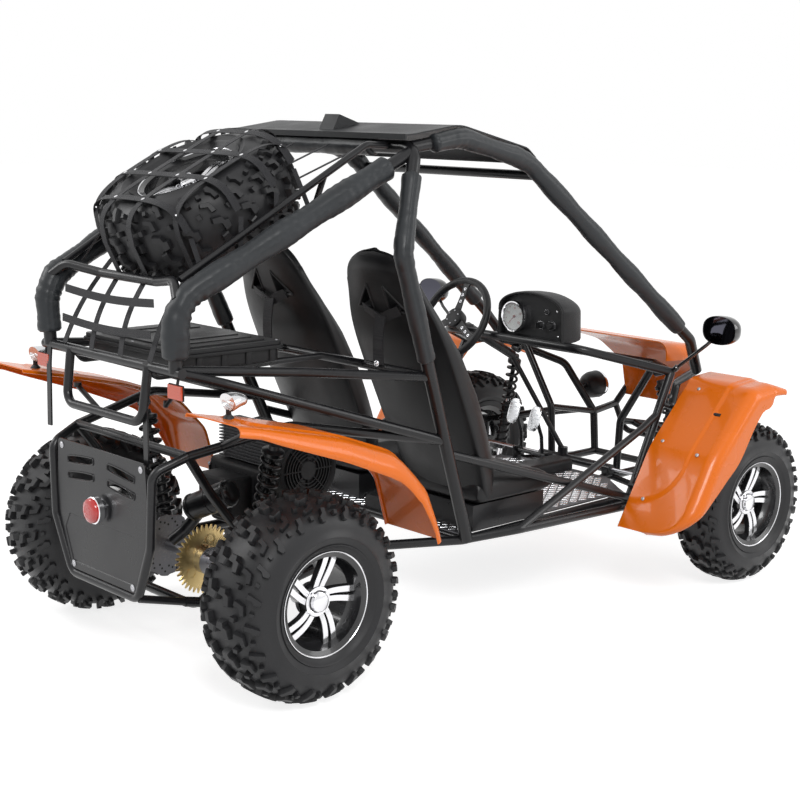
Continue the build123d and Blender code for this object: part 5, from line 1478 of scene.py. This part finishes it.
def make_drive(sizes):
    """Toothed sprocket and brake disc with its caliper; the disc's drilled holes are painted on as dark
    discs, painted shade where each hole would be.
    """
    axle = np.array([REAR_X, 0.0, 0.279])
    teeth = 38
    a = np.linspace(0, 2 * np.pi, teeth * 8, endpoint=False)
    r = 0.0925 + 0.0068 * np.clip(1.4 * np.cos(teeth * a), -1, 1)
    hole = np.full_like(a, 0.0152)
    y = -0.070
    rows = [np.stack([axle[0] + rr * np.cos(a), np.full_like(a, y + d), axle[2] + rr * np.sin(a)], axis=1)
            for rr, d in ((hole, -0.003), (r - 0.006, -0.003), (r, -0.0012), (r, 0.0012), (r - 0.006, 0.003),
                          (hole, 0.003))]
    disc = [shell(np.stack(rows), close_rows=True)]
    for k in range(5):
        b = 2 * math.pi * k / 5
        for side in (-1, 1):
            spot = axle + [0.058 * math.cos(b), y + side * 0.0030, 0.058 * math.sin(b)]
            disc.append(turned([(0.0, 0.015), (0.0012, 0.0165), (0.0012, 0.012), (0.0, 0.012)], spot,
                               (0, side, 0.0), 28))
    bolts = [dome_bolt(axle + [0.034 * math.cos(b), y - 0.0032, 0.034 * math.sin(b)], (0, -1.0, 0), 0.006,
                       0.005) for b in np.linspace(0, 2 * np.pi, 7)[:-1]]
    piece("sprocket_teeth", [disc, bolts], [yellow_zinc(), turned_steel()], "rear_wheels",
          ["sprocket"], smooth=30)
    y = 0.110
    r = np.full_like(a, 0.0897) - 0.002 * np.clip(3 * np.cos(9 * a), -1, 1)
    inner = np.full_like(a, 0.0152)
    rows = [np.stack([axle[0] + rr * np.cos(a), np.full_like(a, y + d), axle[2] + rr * np.sin(a)], axis=1)
            for rr, d in ((inner, -0.002), (r, -0.002), (r, 0.002), (inner, 0.002))]
    plate = [shell(np.stack(rows), close_rows=True)]
    # The disc's holes are not cut: dark discs on both faces paint the shade of each hole.
    painted_hole_shade = []
    for k in range(36):
        b = 2 * math.pi * k / 36
        rr = 0.062 + 0.008 * (k % 3)
        for side in (-1, 1):
            spot = axle + [rr * math.cos(b), y + side * 0.0019, rr * math.sin(b)]
            painted_hole_shade.append(turned([(0.0, 0.0004), (0.0, 0.0034), (0.0003, 0.0034), (0.0003, 0.0004)], spot,
                               (0, side, 0.0), 12))
    piece("disc_painted_holes", [plate, painted_hole_shade], [dull_steel_and_floor_shade(), cast_black()], "rear_wheels",
          ["brake_disc"], smooth=30)
    caliper = [rounded_box((REAR_X - 0.105, 0.0900, 0.262), (REAR_X - 0.068, 0.1040, 0.322), 0.006),
               rounded_box((REAR_X - 0.105, 0.1160, 0.262), (REAR_X - 0.068, 0.1330, 0.322), 0.006),
               rounded_box((REAR_X - 0.118, 0.0900, 0.270), (REAR_X - 0.096, 0.1330, 0.314), 0.005),
               rod((REAR_X - 0.108, 0.125, 0.300), at(-35, 198, 262), 0.007)]
    piece("brake_caliper", [caliper], [cast_grey()], "chassis", smooth=40)


def make_engine(sizes):
    """Engine cases, finned cylinder, drum, fan cover behind its guard, and the muffler with its pipes."""
    cases = [rounded_box((REAR_X + 0.150, -0.150, 0.332), (REAR_X + 0.400, 0.130, 0.520), 0.035),
             rounded_box((REAR_X + 0.062, -0.088, 0.382), (REAR_X + 0.165, 0.058, 0.498), 0.025)]
    for y in (-0.110, 0.060):
        cases.append(rounded_box((REAR_X + 0.3865, y, 0.300), (REAR_X + 0.4115, y + 0.040, 0.347), 0.006))
    ribs = [rounded_box((REAR_X + 0.148, y, 0.350), (REAR_X + 0.160, y + 0.006, 0.500), 0.0025)
            for y in np.arange(-0.13, 0.12, 0.030)]
    fins = [rounded_box((REAR_X + 0.174, -0.138, z), (REAR_X + 0.250, 0.098, z + 0.0032), 0.0014)
            for z in np.arange(0.526, 0.636, 0.0095)]
    head = [rounded_box((REAR_X + 0.180, -0.118, 0.522), (REAR_X + 0.242, 0.088, 0.622), 0.012)]
    fan = at(260, -215, 520)
    side = np.array([0, -1.0, 0])
    shroud = [turned([(-0.063, 0.001), (-0.063, 0.105), (-0.010, 0.1048), (-0.002, 0.100), (0.0, 0.094),
                      (-0.004, 0.088), (-0.010, 0.084), (-0.010, 0.030), (-0.004, 0.026), (-0.003, 0.001)],
                     fan, side, 56)]
    for r in (0.038, 0.048, 0.058, 0.068, 0.078):
        shroud.append(turned([(-0.012, r - 0.0018), (-0.0035, r - 0.0014), (-0.0035, r + 0.0014),
                              (-0.012, r + 0.0018)], fan, side, 44))
    for k in range(8):
        b = 2 * math.pi * k / 8
        out = np.array([math.cos(b), 0, math.sin(b)])
        shroud.append(rod(fan + out * 0.026 - side * 0.007, fan + out * 0.088 - side * 0.007, 0.0028, 8))
    drum = [turned([(-0.105, 0.001), (-0.105, 0.068), (-0.095, 0.0745), (0.095, 0.0745), (0.105, 0.068),
                    (0.105, 0.001)], at(275, -45, 550), (0, 1.0, 0.095), 48)]
    for y in np.arange(-0.130, 0.050, 0.022):
        drum.append(turned([(-0.002, 0.073), (-0.0012, 0.0762), (0.0012, 0.0762), (0.002, 0.073)],
                           at(275, 0, 550) + [0, y, (y + 0.045) * 0.095], (0, 1.0, 0.095), 48))
    bolts = [dome_bolt(at(148, y, z) + [0.0, 0, 0], (-1.0, 0, 0), 0.005, 0.004) for y in (-130, 110)
             for z in (352, 500)]
    cover = [turned([(0.0, 0.001), (0.0, 0.070), (0.010, 0.066), (0.016, 0.050), (0.018, 0.001)],
                    at(280, 129, 430), (0, 1.0, 0), 44)]
    piece("engine_cases", [cases + ribs + shroud + cover, fins + head + drum, bolts],
          [cast_black(), cast_grey_dark(), turned_steel()], "chassis", ["engine"], smooth=40)
    low, high = at(-50, -70, 432), at(0, -205, 500)
    axis = unit(high - low)
    run = np.linalg.norm(high - low)
    can = [turned([(0.0, 0.001), (0.0, 0.026), (0.004, 0.033), (0.012, 0.0375), (run - 0.012, 0.0375),
                   (run - 0.004, 0.033), (run, 0.026), (run, 0.001)], low, axis, 44)]
    for s in (0.016, 0.5 * run, run - 0.016):
        can.append(turned([(s - 0.004, 0.037), (s - 0.003, 0.0392), (s + 0.003, 0.0392), (s + 0.004, 0.037)],
                          low, axis, 44))
    outlet = bent_path([at(-34, -95, 424), at(-60, -60, 370), at(-90, -40, 340)], 0.04, 0.004)
    pipe = carried(outlet, ring(0.0168, 24), np.array([0, 1.0, 0]))
    hole = carried(outlet[-6:][::-1], ring(0.0130, 24), np.array([0, -1.0, 0]))
    can.append(shell(np.concatenate([pipe, hole[:1] * 1.0, hole[1:]])))
    can.append(tube(bent_path([at(-40, -100, 446), at(0, -70, 452), at(60, -60, 446)], 0.05, 0.005), 0.0150,
                    (0, 1.0, 0), 20))
    piece("muffler_can", [can], [black_paint()], "chassis", ["muffler"], smooth=40)


def make_controls(sizes):
    """Pedals with ribbed bright pads, mirrors with their glass, and headlamps."""
    black, bright = [], []
    px = REAR_X + 1.560
    black.append(rod((px + 0.020, 0.055, 0.320), (px + 0.020, 0.225, 0.320), 0.008, 20))
    normal = unit(np.array([-0.94, 0, 0.34]))
    up = unit(np.array([0.34, 0, 0.94]))
    for y, top in ((0.090, 0.455), (0.190, 0.470)):
        foot, head = np.array([px + 0.020, y, 0.320]), np.array([px - 0.015, y, top])
        black.append(tube(bent_path([foot, between(foot, head, 0.5) + [0.012, 0, 0], head], 0.03, 0.005),
                          0.0068, (0, 1.0, 0), 14))
        spot = np.array([px - 0.022, y, top])
        a = np.linspace(0, 2 * np.pi, 44, endpoint=False)
        c, s = np.cos(a), np.sin(a)
        u = 0.025 * np.sign(c) * np.abs(c) ** 0.6
        v = 0.045 * np.sign(s) * np.abs(s) ** 0.7
        rows = [spot + normal * d + np.array([0, 1.0, 0]) * (u * k)[:, None] + up * (v * k)[:, None]
                for k, d in ((0.93, 0.0), (1.0, 0.0012), (1.0, 0.0045), (0.94, 0.006))]
        bright.append(shell(np.stack(rows)))
        for k in range(5):
            line = spot + normal * 0.0062 + up * (-0.030 + 0.015 * k)
            bright.append(rod(line + [0, -0.021, 0], line + [0, 0.021, 0], 0.0016, 8, (1.0, 0.1, 0.1)))
    for y in (0.060, 0.212):
        black.append(rounded_box((px, y - 0.004, 0.2928), (px + 0.040, y + 0.004, 0.334), 0.0035))
    piece("pedal_pads", [black, bright], [black_paint(), bright_plate()], "chassis",
          ["pedals"], smooth=40)

    shells, glass, stalks = [], [], []
    for side in (1, -1):
        head = ahead(-182, side * 655, 855)
        a = np.linspace(0, 2 * np.pi, 56, endpoint=False)
        c, s = np.cos(a), np.sin(a)
        y = 0.063 * np.sign(c) * np.abs(c) ** 0.88
        z = 0.046 * np.sign(s) * np.abs(s) ** 0.80

        def hoop(k, d):
            return head + np.stack([np.full(56, d), y * k, z * k], axis=1)

        bowl = ((0.94, -0.0195), (0.955, -0.0215), (0.985, -0.0215), (1.0, -0.018), (1.0, -0.002),
                (0.97, 0.010), (0.86, 0.022), (0.66, 0.029), (0.36, 0.0315), (0.05, 0.032))
        pane = ((0.945, -0.017), (0.945, -0.0203), (0.6, -0.0207), (0.05, -0.0208))
        shells.append(shell(np.stack([hoop(k, d) for k, d in bowl])))
        glass.append(shell(np.stack([hoop(k, d) for k, d in pane])))
        stalk = bent_path([ahead(-194, side * 470, 697), ahead(-190, side * 600, 800), head + [0.004, 0, 0]],
                          0.03, 0.005)
        stalks.append(tube(stalk, 0.006, (1.0, 0, 0), 14))
        along = unit(stalk[3] - stalk[0])
        stalks.append(turned([(0.016, 0.0058), (0.016, 0.010), (0.030, 0.010), (0.034, 0.0058)], stalk[0],
                             along, 16))
    piece("mirror_shells", [shells + stalks, glass], [gloss_black(), mirror_glass()], "chassis",
          ["mirrors"], smooth=45)

    rims, black, lenses = [], [], []
    for side in (1, -1):
        spot = ahead(235, side * 235, 505)
        fwd = np.array([1.0, 0, 0])
        black.append(turned([(-0.026, 0.001), (-0.026, 0.024), (-0.020, 0.033), (-0.008, 0.044),
                             (0.010, 0.050), (0.044, 0.0512), (0.044, 0.001)], spot, fwd, 48))
        rims.append(turned([(0.040, 0.0515), (0.048, 0.052), (0.054, 0.0505), (0.055, 0.047), (0.050, 0.0455),
                            (0.044, 0.046)], spot, fwd, 56))
        rims.append(turned([(0.045, 0.046), (0.030, 0.040), (0.012, 0.028), (0.002, 0.010), (0.001, 0.0005),
                            (0.0, 0.0005), (0.0, 0.012), (0.010, 0.030), (0.028, 0.042), (0.043, 0.047)],
                           spot, fwd, 48))
        lenses.append(turned([(0.0455, 0.0005), (0.0455, 0.0462), (0.0475, 0.0462), (0.0505, 0.036),
                              (0.0520, 0.020), (0.0525, 0.0005)], spot, fwd, 48))
        black.append(rod(spot + [-0.010, 0, 0], ahead(157, side * 212, 505), 0.007, 16))
    piece("headlamp_shells", [black, rims], [grained_plastic(), chrome()], "chassis",
          ["headlamps"], smooth=40)
    piece("headlamp_lenses", [lenses], [clear_glass()], "chassis", smooth=60)


# Finishes of the frame's own pieces

def dress_frame(colours):
    """Gives each of the frame's own nodes its finish, its edges welded and split so that bars look round."""
    finishes = {"frame_black": black_paint(), "pad_vinyl": pad_vinyl(), "roof_black": roof_plastic(),
                "fender_orange": orange_moulding(tuple(colours.moulding)), "tread_plate": bright_plate(),
                "box_plastic": grained_plastic(), "seat_vinyl": seat_vinyl(), "steel_bare": turned_steel(),
                "sprocket_gold": yellow_zinc(), "rim_machined": machined(), "tyre_rubber": tyre_rubber(),
                "engine_metal": cast_black(), "muffler_black": black_paint(), "shock_metal": black_paint(),
                "wheel_rubber": grained_plastic(), "lamp_red": red_lens(), "lamp_clear": chrome(),
                "webbing_black": webbing(), }
    slots = {s["node"]: s["material_slot"] for s in frame["record"]["subparts"]}
    for name, obj in frame["nodes"].items():
        obj.data.materials.clear()
        obj.data.materials.append(finishes[slots[name]])
        obj.data.polygons.foreach_set("use_smooth", np.ones(len(obj.data.polygons), bool))
        weld = obj.modifiers.new("Weld", "WELD")
        weld.merge_threshold = 0.00002
        split = obj.modifiers.new("Split", "EDGE_SPLIT")
        split.split_angle = math.radians(32)


# Stage

FLOOR_GLOW = 0.80
WORLD_LIGHT = 0.36
CAMERA_PLACE = (-3.347, -3.503, 1.542)
CAMERA_YAW, CAMERA_PITCH, CAMERA_ROLL = 47.23, 10.87, 0.77
PICTURE_WIDTH = 800.0
FOCAL_LENGTH = 1543.0


def seen_rays(tree):
    """Socket that is 1 for the rays of the camera, of gloss and of glass, and 0 for light on the object."""
    path = tree.nodes.new("ShaderNodeLightPath")
    socket = path.outputs["Is Camera Ray"]
    for name in ("Is Glossy Ray", "Is Transmission Ray"):
        larger = tree.nodes.new("ShaderNodeMath")
        larger.operation = "MAXIMUM"
        tree.links.new(socket, larger.inputs[0])
        tree.links.new(path.outputs[name], larger.inputs[1])
        socket = larger.outputs[0]
    return socket


def make_stage():
    """Pale floor, plain soft light and the camera at the photograph's angle."""
    floor = bpy.data.meshes.new("floor")
    reach = 30.0
    floor.from_pydata([(-reach, -reach, 0), (reach, -reach, 0), (reach, reach, 0), (-reach, reach, 0)], [],
                      [(0, 1, 2, 3)])
    floor_obj = bpy.data.objects.new("floor", floor)
    bpy.context.scene.collection.objects.link(floor_obj)
    material = bpy.data.materials.new("Floor")
    material.use_nodes = True
    nodes, link = material.node_tree.nodes, material.node_tree.links.new
    nodes.clear()
    out = nodes.new("ShaderNodeOutputMaterial")
    matt = nodes.new("ShaderNodeBsdfDiffuse")
    matt.inputs["Color"].default_value = (0.62, 0.62, 0.62, 1)
    glow = nodes.new("ShaderNodeEmission")
    glow.inputs["Color"].default_value = (1, 1, 1, 1)
    level = nodes.new("ShaderNodeMath")
    level.operation = "MULTIPLY"
    level.inputs[1].default_value = FLOOR_GLOW
    link(seen_rays(material.node_tree), level.inputs[0])
    link(level.outputs[0], glow.inputs["Strength"])
    both = nodes.new("ShaderNodeAddShader")
    link(matt.outputs[0], both.inputs[0])
    link(glow.outputs[0], both.inputs[1])
    link(both.outputs[0], out.inputs["Surface"])
    floor.materials.append(material)

    world = bpy.data.worlds.new("Studio")
    bpy.context.scene.world = world
    world.use_nodes = True
    nodes, link = world.node_tree.nodes, world.node_tree.links.new
    ground = nodes["Background"]
    strength = nodes.new("ShaderNodeMapRange")
    strength.inputs["To Min"].default_value = WORLD_LIGHT
    strength.inputs["To Max"].default_value = 1.0
    link(seen_rays(world.node_tree), strength.inputs["Value"])
    link(strength.outputs["Result"], ground.inputs["Strength"])
    ground.inputs["Color"].default_value = (1, 1, 1, 1)
    for name, place, aim, power, size in (("Key", (-3.5, -5.0, 5.5), (0, 0, 0.6), 230, 2.6),
                                          ("Fill", (3.5, -4.5, 3.0), (0, 0, 0.6), 80, 3.0),
                                          ("Rim", (-4.0, 4.5, 4.5), (0, 0, 0.8), 110, 2.5)):
        lamp = bpy.data.lights.new(name, "AREA")
        lamp.energy = power
        lamp.size = size
        obj = bpy.data.objects.new(name, lamp)
        bpy.context.scene.collection.objects.link(obj)
        look(obj, np.array(place, float), unit(np.array(aim, float) - np.array(place, float)), 0.0)

    camera = bpy.data.cameras.new("Camera")
    camera.sensor_width = 36.0
    camera.lens = camera.sensor_width * FOCAL_LENGTH / PICTURE_WIDTH
    obj = bpy.data.objects.new("Camera", camera)
    bpy.context.scene.collection.objects.link(obj)
    yaw, pitch, roll = (math.radians(a) for a in (CAMERA_YAW, CAMERA_PITCH, CAMERA_ROLL))
    forward = np.array([math.cos(yaw) * math.cos(pitch), math.sin(yaw) * math.cos(pitch), -math.sin(pitch)])
    look(obj, np.array(CAMERA_PLACE), forward, roll)
    bpy.context.scene.camera = obj
    bpy.context.scene.view_settings.view_transform = "Standard"


def look(obj, place, forward, roll):
    """Puts a camera or lamp at a place, aimed along forward and rolled about it."""
    right = unit(np.cross(forward, [0, 0, 1]))
    up = np.cross(right, forward)
    right, up = right * math.cos(roll) + up * math.sin(roll), up * math.cos(roll) - right * math.sin(roll)
    matrix = np.eye(4)
    matrix[:3, 0], matrix[:3, 1], matrix[:3, 2], matrix[:3, 3] = right, up, -forward, place
    obj.matrix_world = Matrix(matrix.tolist())


# Add-on: properties, operators and panel

class BuggySizes(bpy.types.PropertyGroup):
    """Sizes that a user would change."""
    rear_lug: bpy.props.FloatProperty(name="Rear lug", description="Height of the rear lugs", default=0.013,
                                      unit="LENGTH")
    front_lug: bpy.props.FloatProperty(name="Front lug", description="Height of the front lugs",
                                       default=0.011, unit="LENGTH")
    wrinkle: bpy.props.FloatProperty(name="Wrinkle", description="Depth of the sleeves' puckers",
                                     default=0.0028, unit="LENGTH")
    strap_width: bpy.props.FloatProperty(name="Strap width", description="Width of the net's straps",
                                         default=0.022, unit="LENGTH")
    tread_pitch: bpy.props.FloatProperty(name="Tread pitch",
                                         description="Pitch of the floor's raised diamonds", default=0.046,
                                         unit="LENGTH")


class BuggyColours(bpy.types.PropertyGroup):
    """Colours that a user would change."""
    moulding: bpy.props.FloatVectorProperty(name="Mouldings", description="Colour of fenders and cowl",
                                            size=3, subtype="COLOR", default=(1.0, 0.20, 0.002), min=0.0,
                                            max=1.0)


class BUGGY_OT_frame(bpy.types.Operator):
    """Gives the frame's own pieces their finishes"""
    bl_idname = "buggy.frame"
    bl_label = "Frame finishes"

    def execute(self, context):
        dress_frame(context.scene.buggy_colours)
        return {"FINISHED"}


class BUGGY_OT_tyres(bpy.types.Operator):
    """Tyres with hooked lugs"""
    bl_idname = "buggy.tyres"
    bl_label = "Tyres"

    def execute(self, context):
        make_tyres(context.scene.buggy_sizes)
        return {"FINISHED"}


class BUGGY_OT_rims(bpy.types.Operator):
    """Machined rims with five pairs of spokes"""
    bl_idname = "buggy.rims"
    bl_label = "Rims"

    def execute(self, context):
        make_rims(context.scene.buggy_sizes)
        return {"FINISHED"}


class BUGGY_OT_pads(bpy.types.Operator):
    """Padded sleeves of the cage"""
    bl_idname = "buggy.pads"
    bl_label = "Sleeves"

    def execute(self, context):
        make_pads(context.scene.buggy_sizes)
        return {"FINISHED"}


class BUGGY_OT_net(bpy.types.Operator):
    """Straps over the spare wheel"""
    bl_idname = "buggy.net"
    bl_label = "Net"

    def execute(self, context):
        make_net(context.scene.buggy_sizes)
        return {"FINISHED"}


class BUGGY_OT_fenders(bpy.types.Operator):
    """Orange fenders with raised panels and their bolts"""
    bl_idname = "buggy.fenders"
    bl_label = "Fenders"

    def execute(self, context):
        make_fenders(context.scene.buggy_sizes, context.scene.buggy_colours)
        return {"FINISHED"}


class BUGGY_OT_tail(bpy.types.Operator):
    """Tail lamp, signals, reflectors and the guard plate's trim"""
    bl_idname = "buggy.tail"
    bl_label = "Tail"

    def execute(self, context):
        make_tail(context.scene.buggy_sizes)
        return {"FINISHED"}


class BUGGY_OT_seats(bpy.types.Operator):
    """Seats with their harness webbing"""
    bl_idname = "buggy.seats"
    bl_label = "Seats"

    def execute(self, context):
        make_seats(context.scene.buggy_sizes)
        return {"FINISHED"}


class BUGGY_OT_floor(bpy.types.Operator):
    """Tread plates of the floor"""
    bl_idname = "buggy.floor"
    bl_label = "Floor plates"

    def execute(self, context):
        make_floor(context.scene.buggy_sizes)
        return {"FINISHED"}


class BUGGY_OT_box(bpy.types.Operator):
    """Storage box with its ribbed lid"""
    bl_idname = "buggy.box"
    bl_label = "Storage box"

    def execute(self, context):
        make_box(context.scene.buggy_sizes)
        return {"FINISHED"}


class BUGGY_OT_steering(bpy.types.Operator):
    """Hand wheel with drilled spokes"""
    bl_idname = "buggy.steering"
    bl_label = "Steering wheel"

    def execute(self, context):
        make_steering(context.scene.buggy_sizes)
        return {"FINISHED"}


class BUGGY_OT_dash(bpy.types.Operator):
    """Dash pod with its dial, key switch and knobs"""
    bl_idname = "buggy.dash"
    bl_label = "Dash pod"

    def execute(self, context):
        make_dash(context.scene.buggy_sizes)
        return {"FINISHED"}


class BUGGY_OT_shocks(bpy.types.Operator):
    """Dampers and their coil springs"""
    bl_idname = "buggy.shocks"
    bl_label = "Dampers"

    def execute(self, context):
        make_shocks(context.scene.buggy_sizes)
        return {"FINISHED"}


class BUGGY_OT_drive(bpy.types.Operator):
    """Sprocket, brake disc and caliper"""
    bl_idname = "buggy.drive"
    bl_label = "Drive"

    def execute(self, context):
        make_drive(context.scene.buggy_sizes)
        return {"FINISHED"}


class BUGGY_OT_engine(bpy.types.Operator):
    """Engine cases, fins, fan cover and muffler"""
    bl_idname = "buggy.engine"
    bl_label = "Engine"

    def execute(self, context):
        make_engine(context.scene.buggy_sizes)
        return {"FINISHED"}


class BUGGY_OT_controls(bpy.types.Operator):
    """Pedals, mirrors and headlamps"""
    bl_idname = "buggy.controls"
    bl_label = "Controls"

    def execute(self, context):
        make_controls(context.scene.buggy_sizes)
        return {"FINISHED"}


class BUGGY_OT_stage(bpy.types.Operator):
    """Floor, lamps and camera"""
    bl_idname = "buggy.stage"
    bl_label = "Stage"

    def execute(self, context):
        make_stage()
        return {"FINISHED"}


OPERATORS = [BUGGY_OT_stage, BUGGY_OT_frame, BUGGY_OT_tyres, BUGGY_OT_rims, BUGGY_OT_pads, BUGGY_OT_net,
             BUGGY_OT_fenders, BUGGY_OT_tail, BUGGY_OT_seats, BUGGY_OT_floor, BUGGY_OT_box,
             BUGGY_OT_steering, BUGGY_OT_dash, BUGGY_OT_shocks, BUGGY_OT_drive, BUGGY_OT_engine,
             BUGGY_OT_controls]


class BUGGY_PT_panel(bpy.types.Panel):
    """Lists the operators in the sidebar."""
    bl_idname = "BUGGY_PT_panel"
    bl_label = "Buggy"
    bl_space_type = "VIEW_3D"
    bl_region_type = "UI"
    bl_category = "Buggy"

    def draw(self, context):
        for made in OPERATORS:
            self.layout.operator(made.bl_idname)


CLASSES = [BuggySizes, BuggyColours, *OPERATORS, BUGGY_PT_panel]


def register():
    for made in CLASSES:
        bpy.utils.register_class(made)
    bpy.types.Scene.buggy_sizes = bpy.props.PointerProperty(type=BuggySizes)
    bpy.types.Scene.buggy_colours = bpy.props.PointerProperty(type=BuggyColours)


def unregister():
    del bpy.types.Scene.buggy_sizes
    del bpy.types.Scene.buggy_colours
    for made in reversed(CLASSES):
        bpy.utils.unregister_class(made)


def main():
    register()
    for made in OPERATORS:
        getattr(bpy.ops.buggy, made.bl_idname.split(".")[1])()


if __name__ == "__main__":
    main()
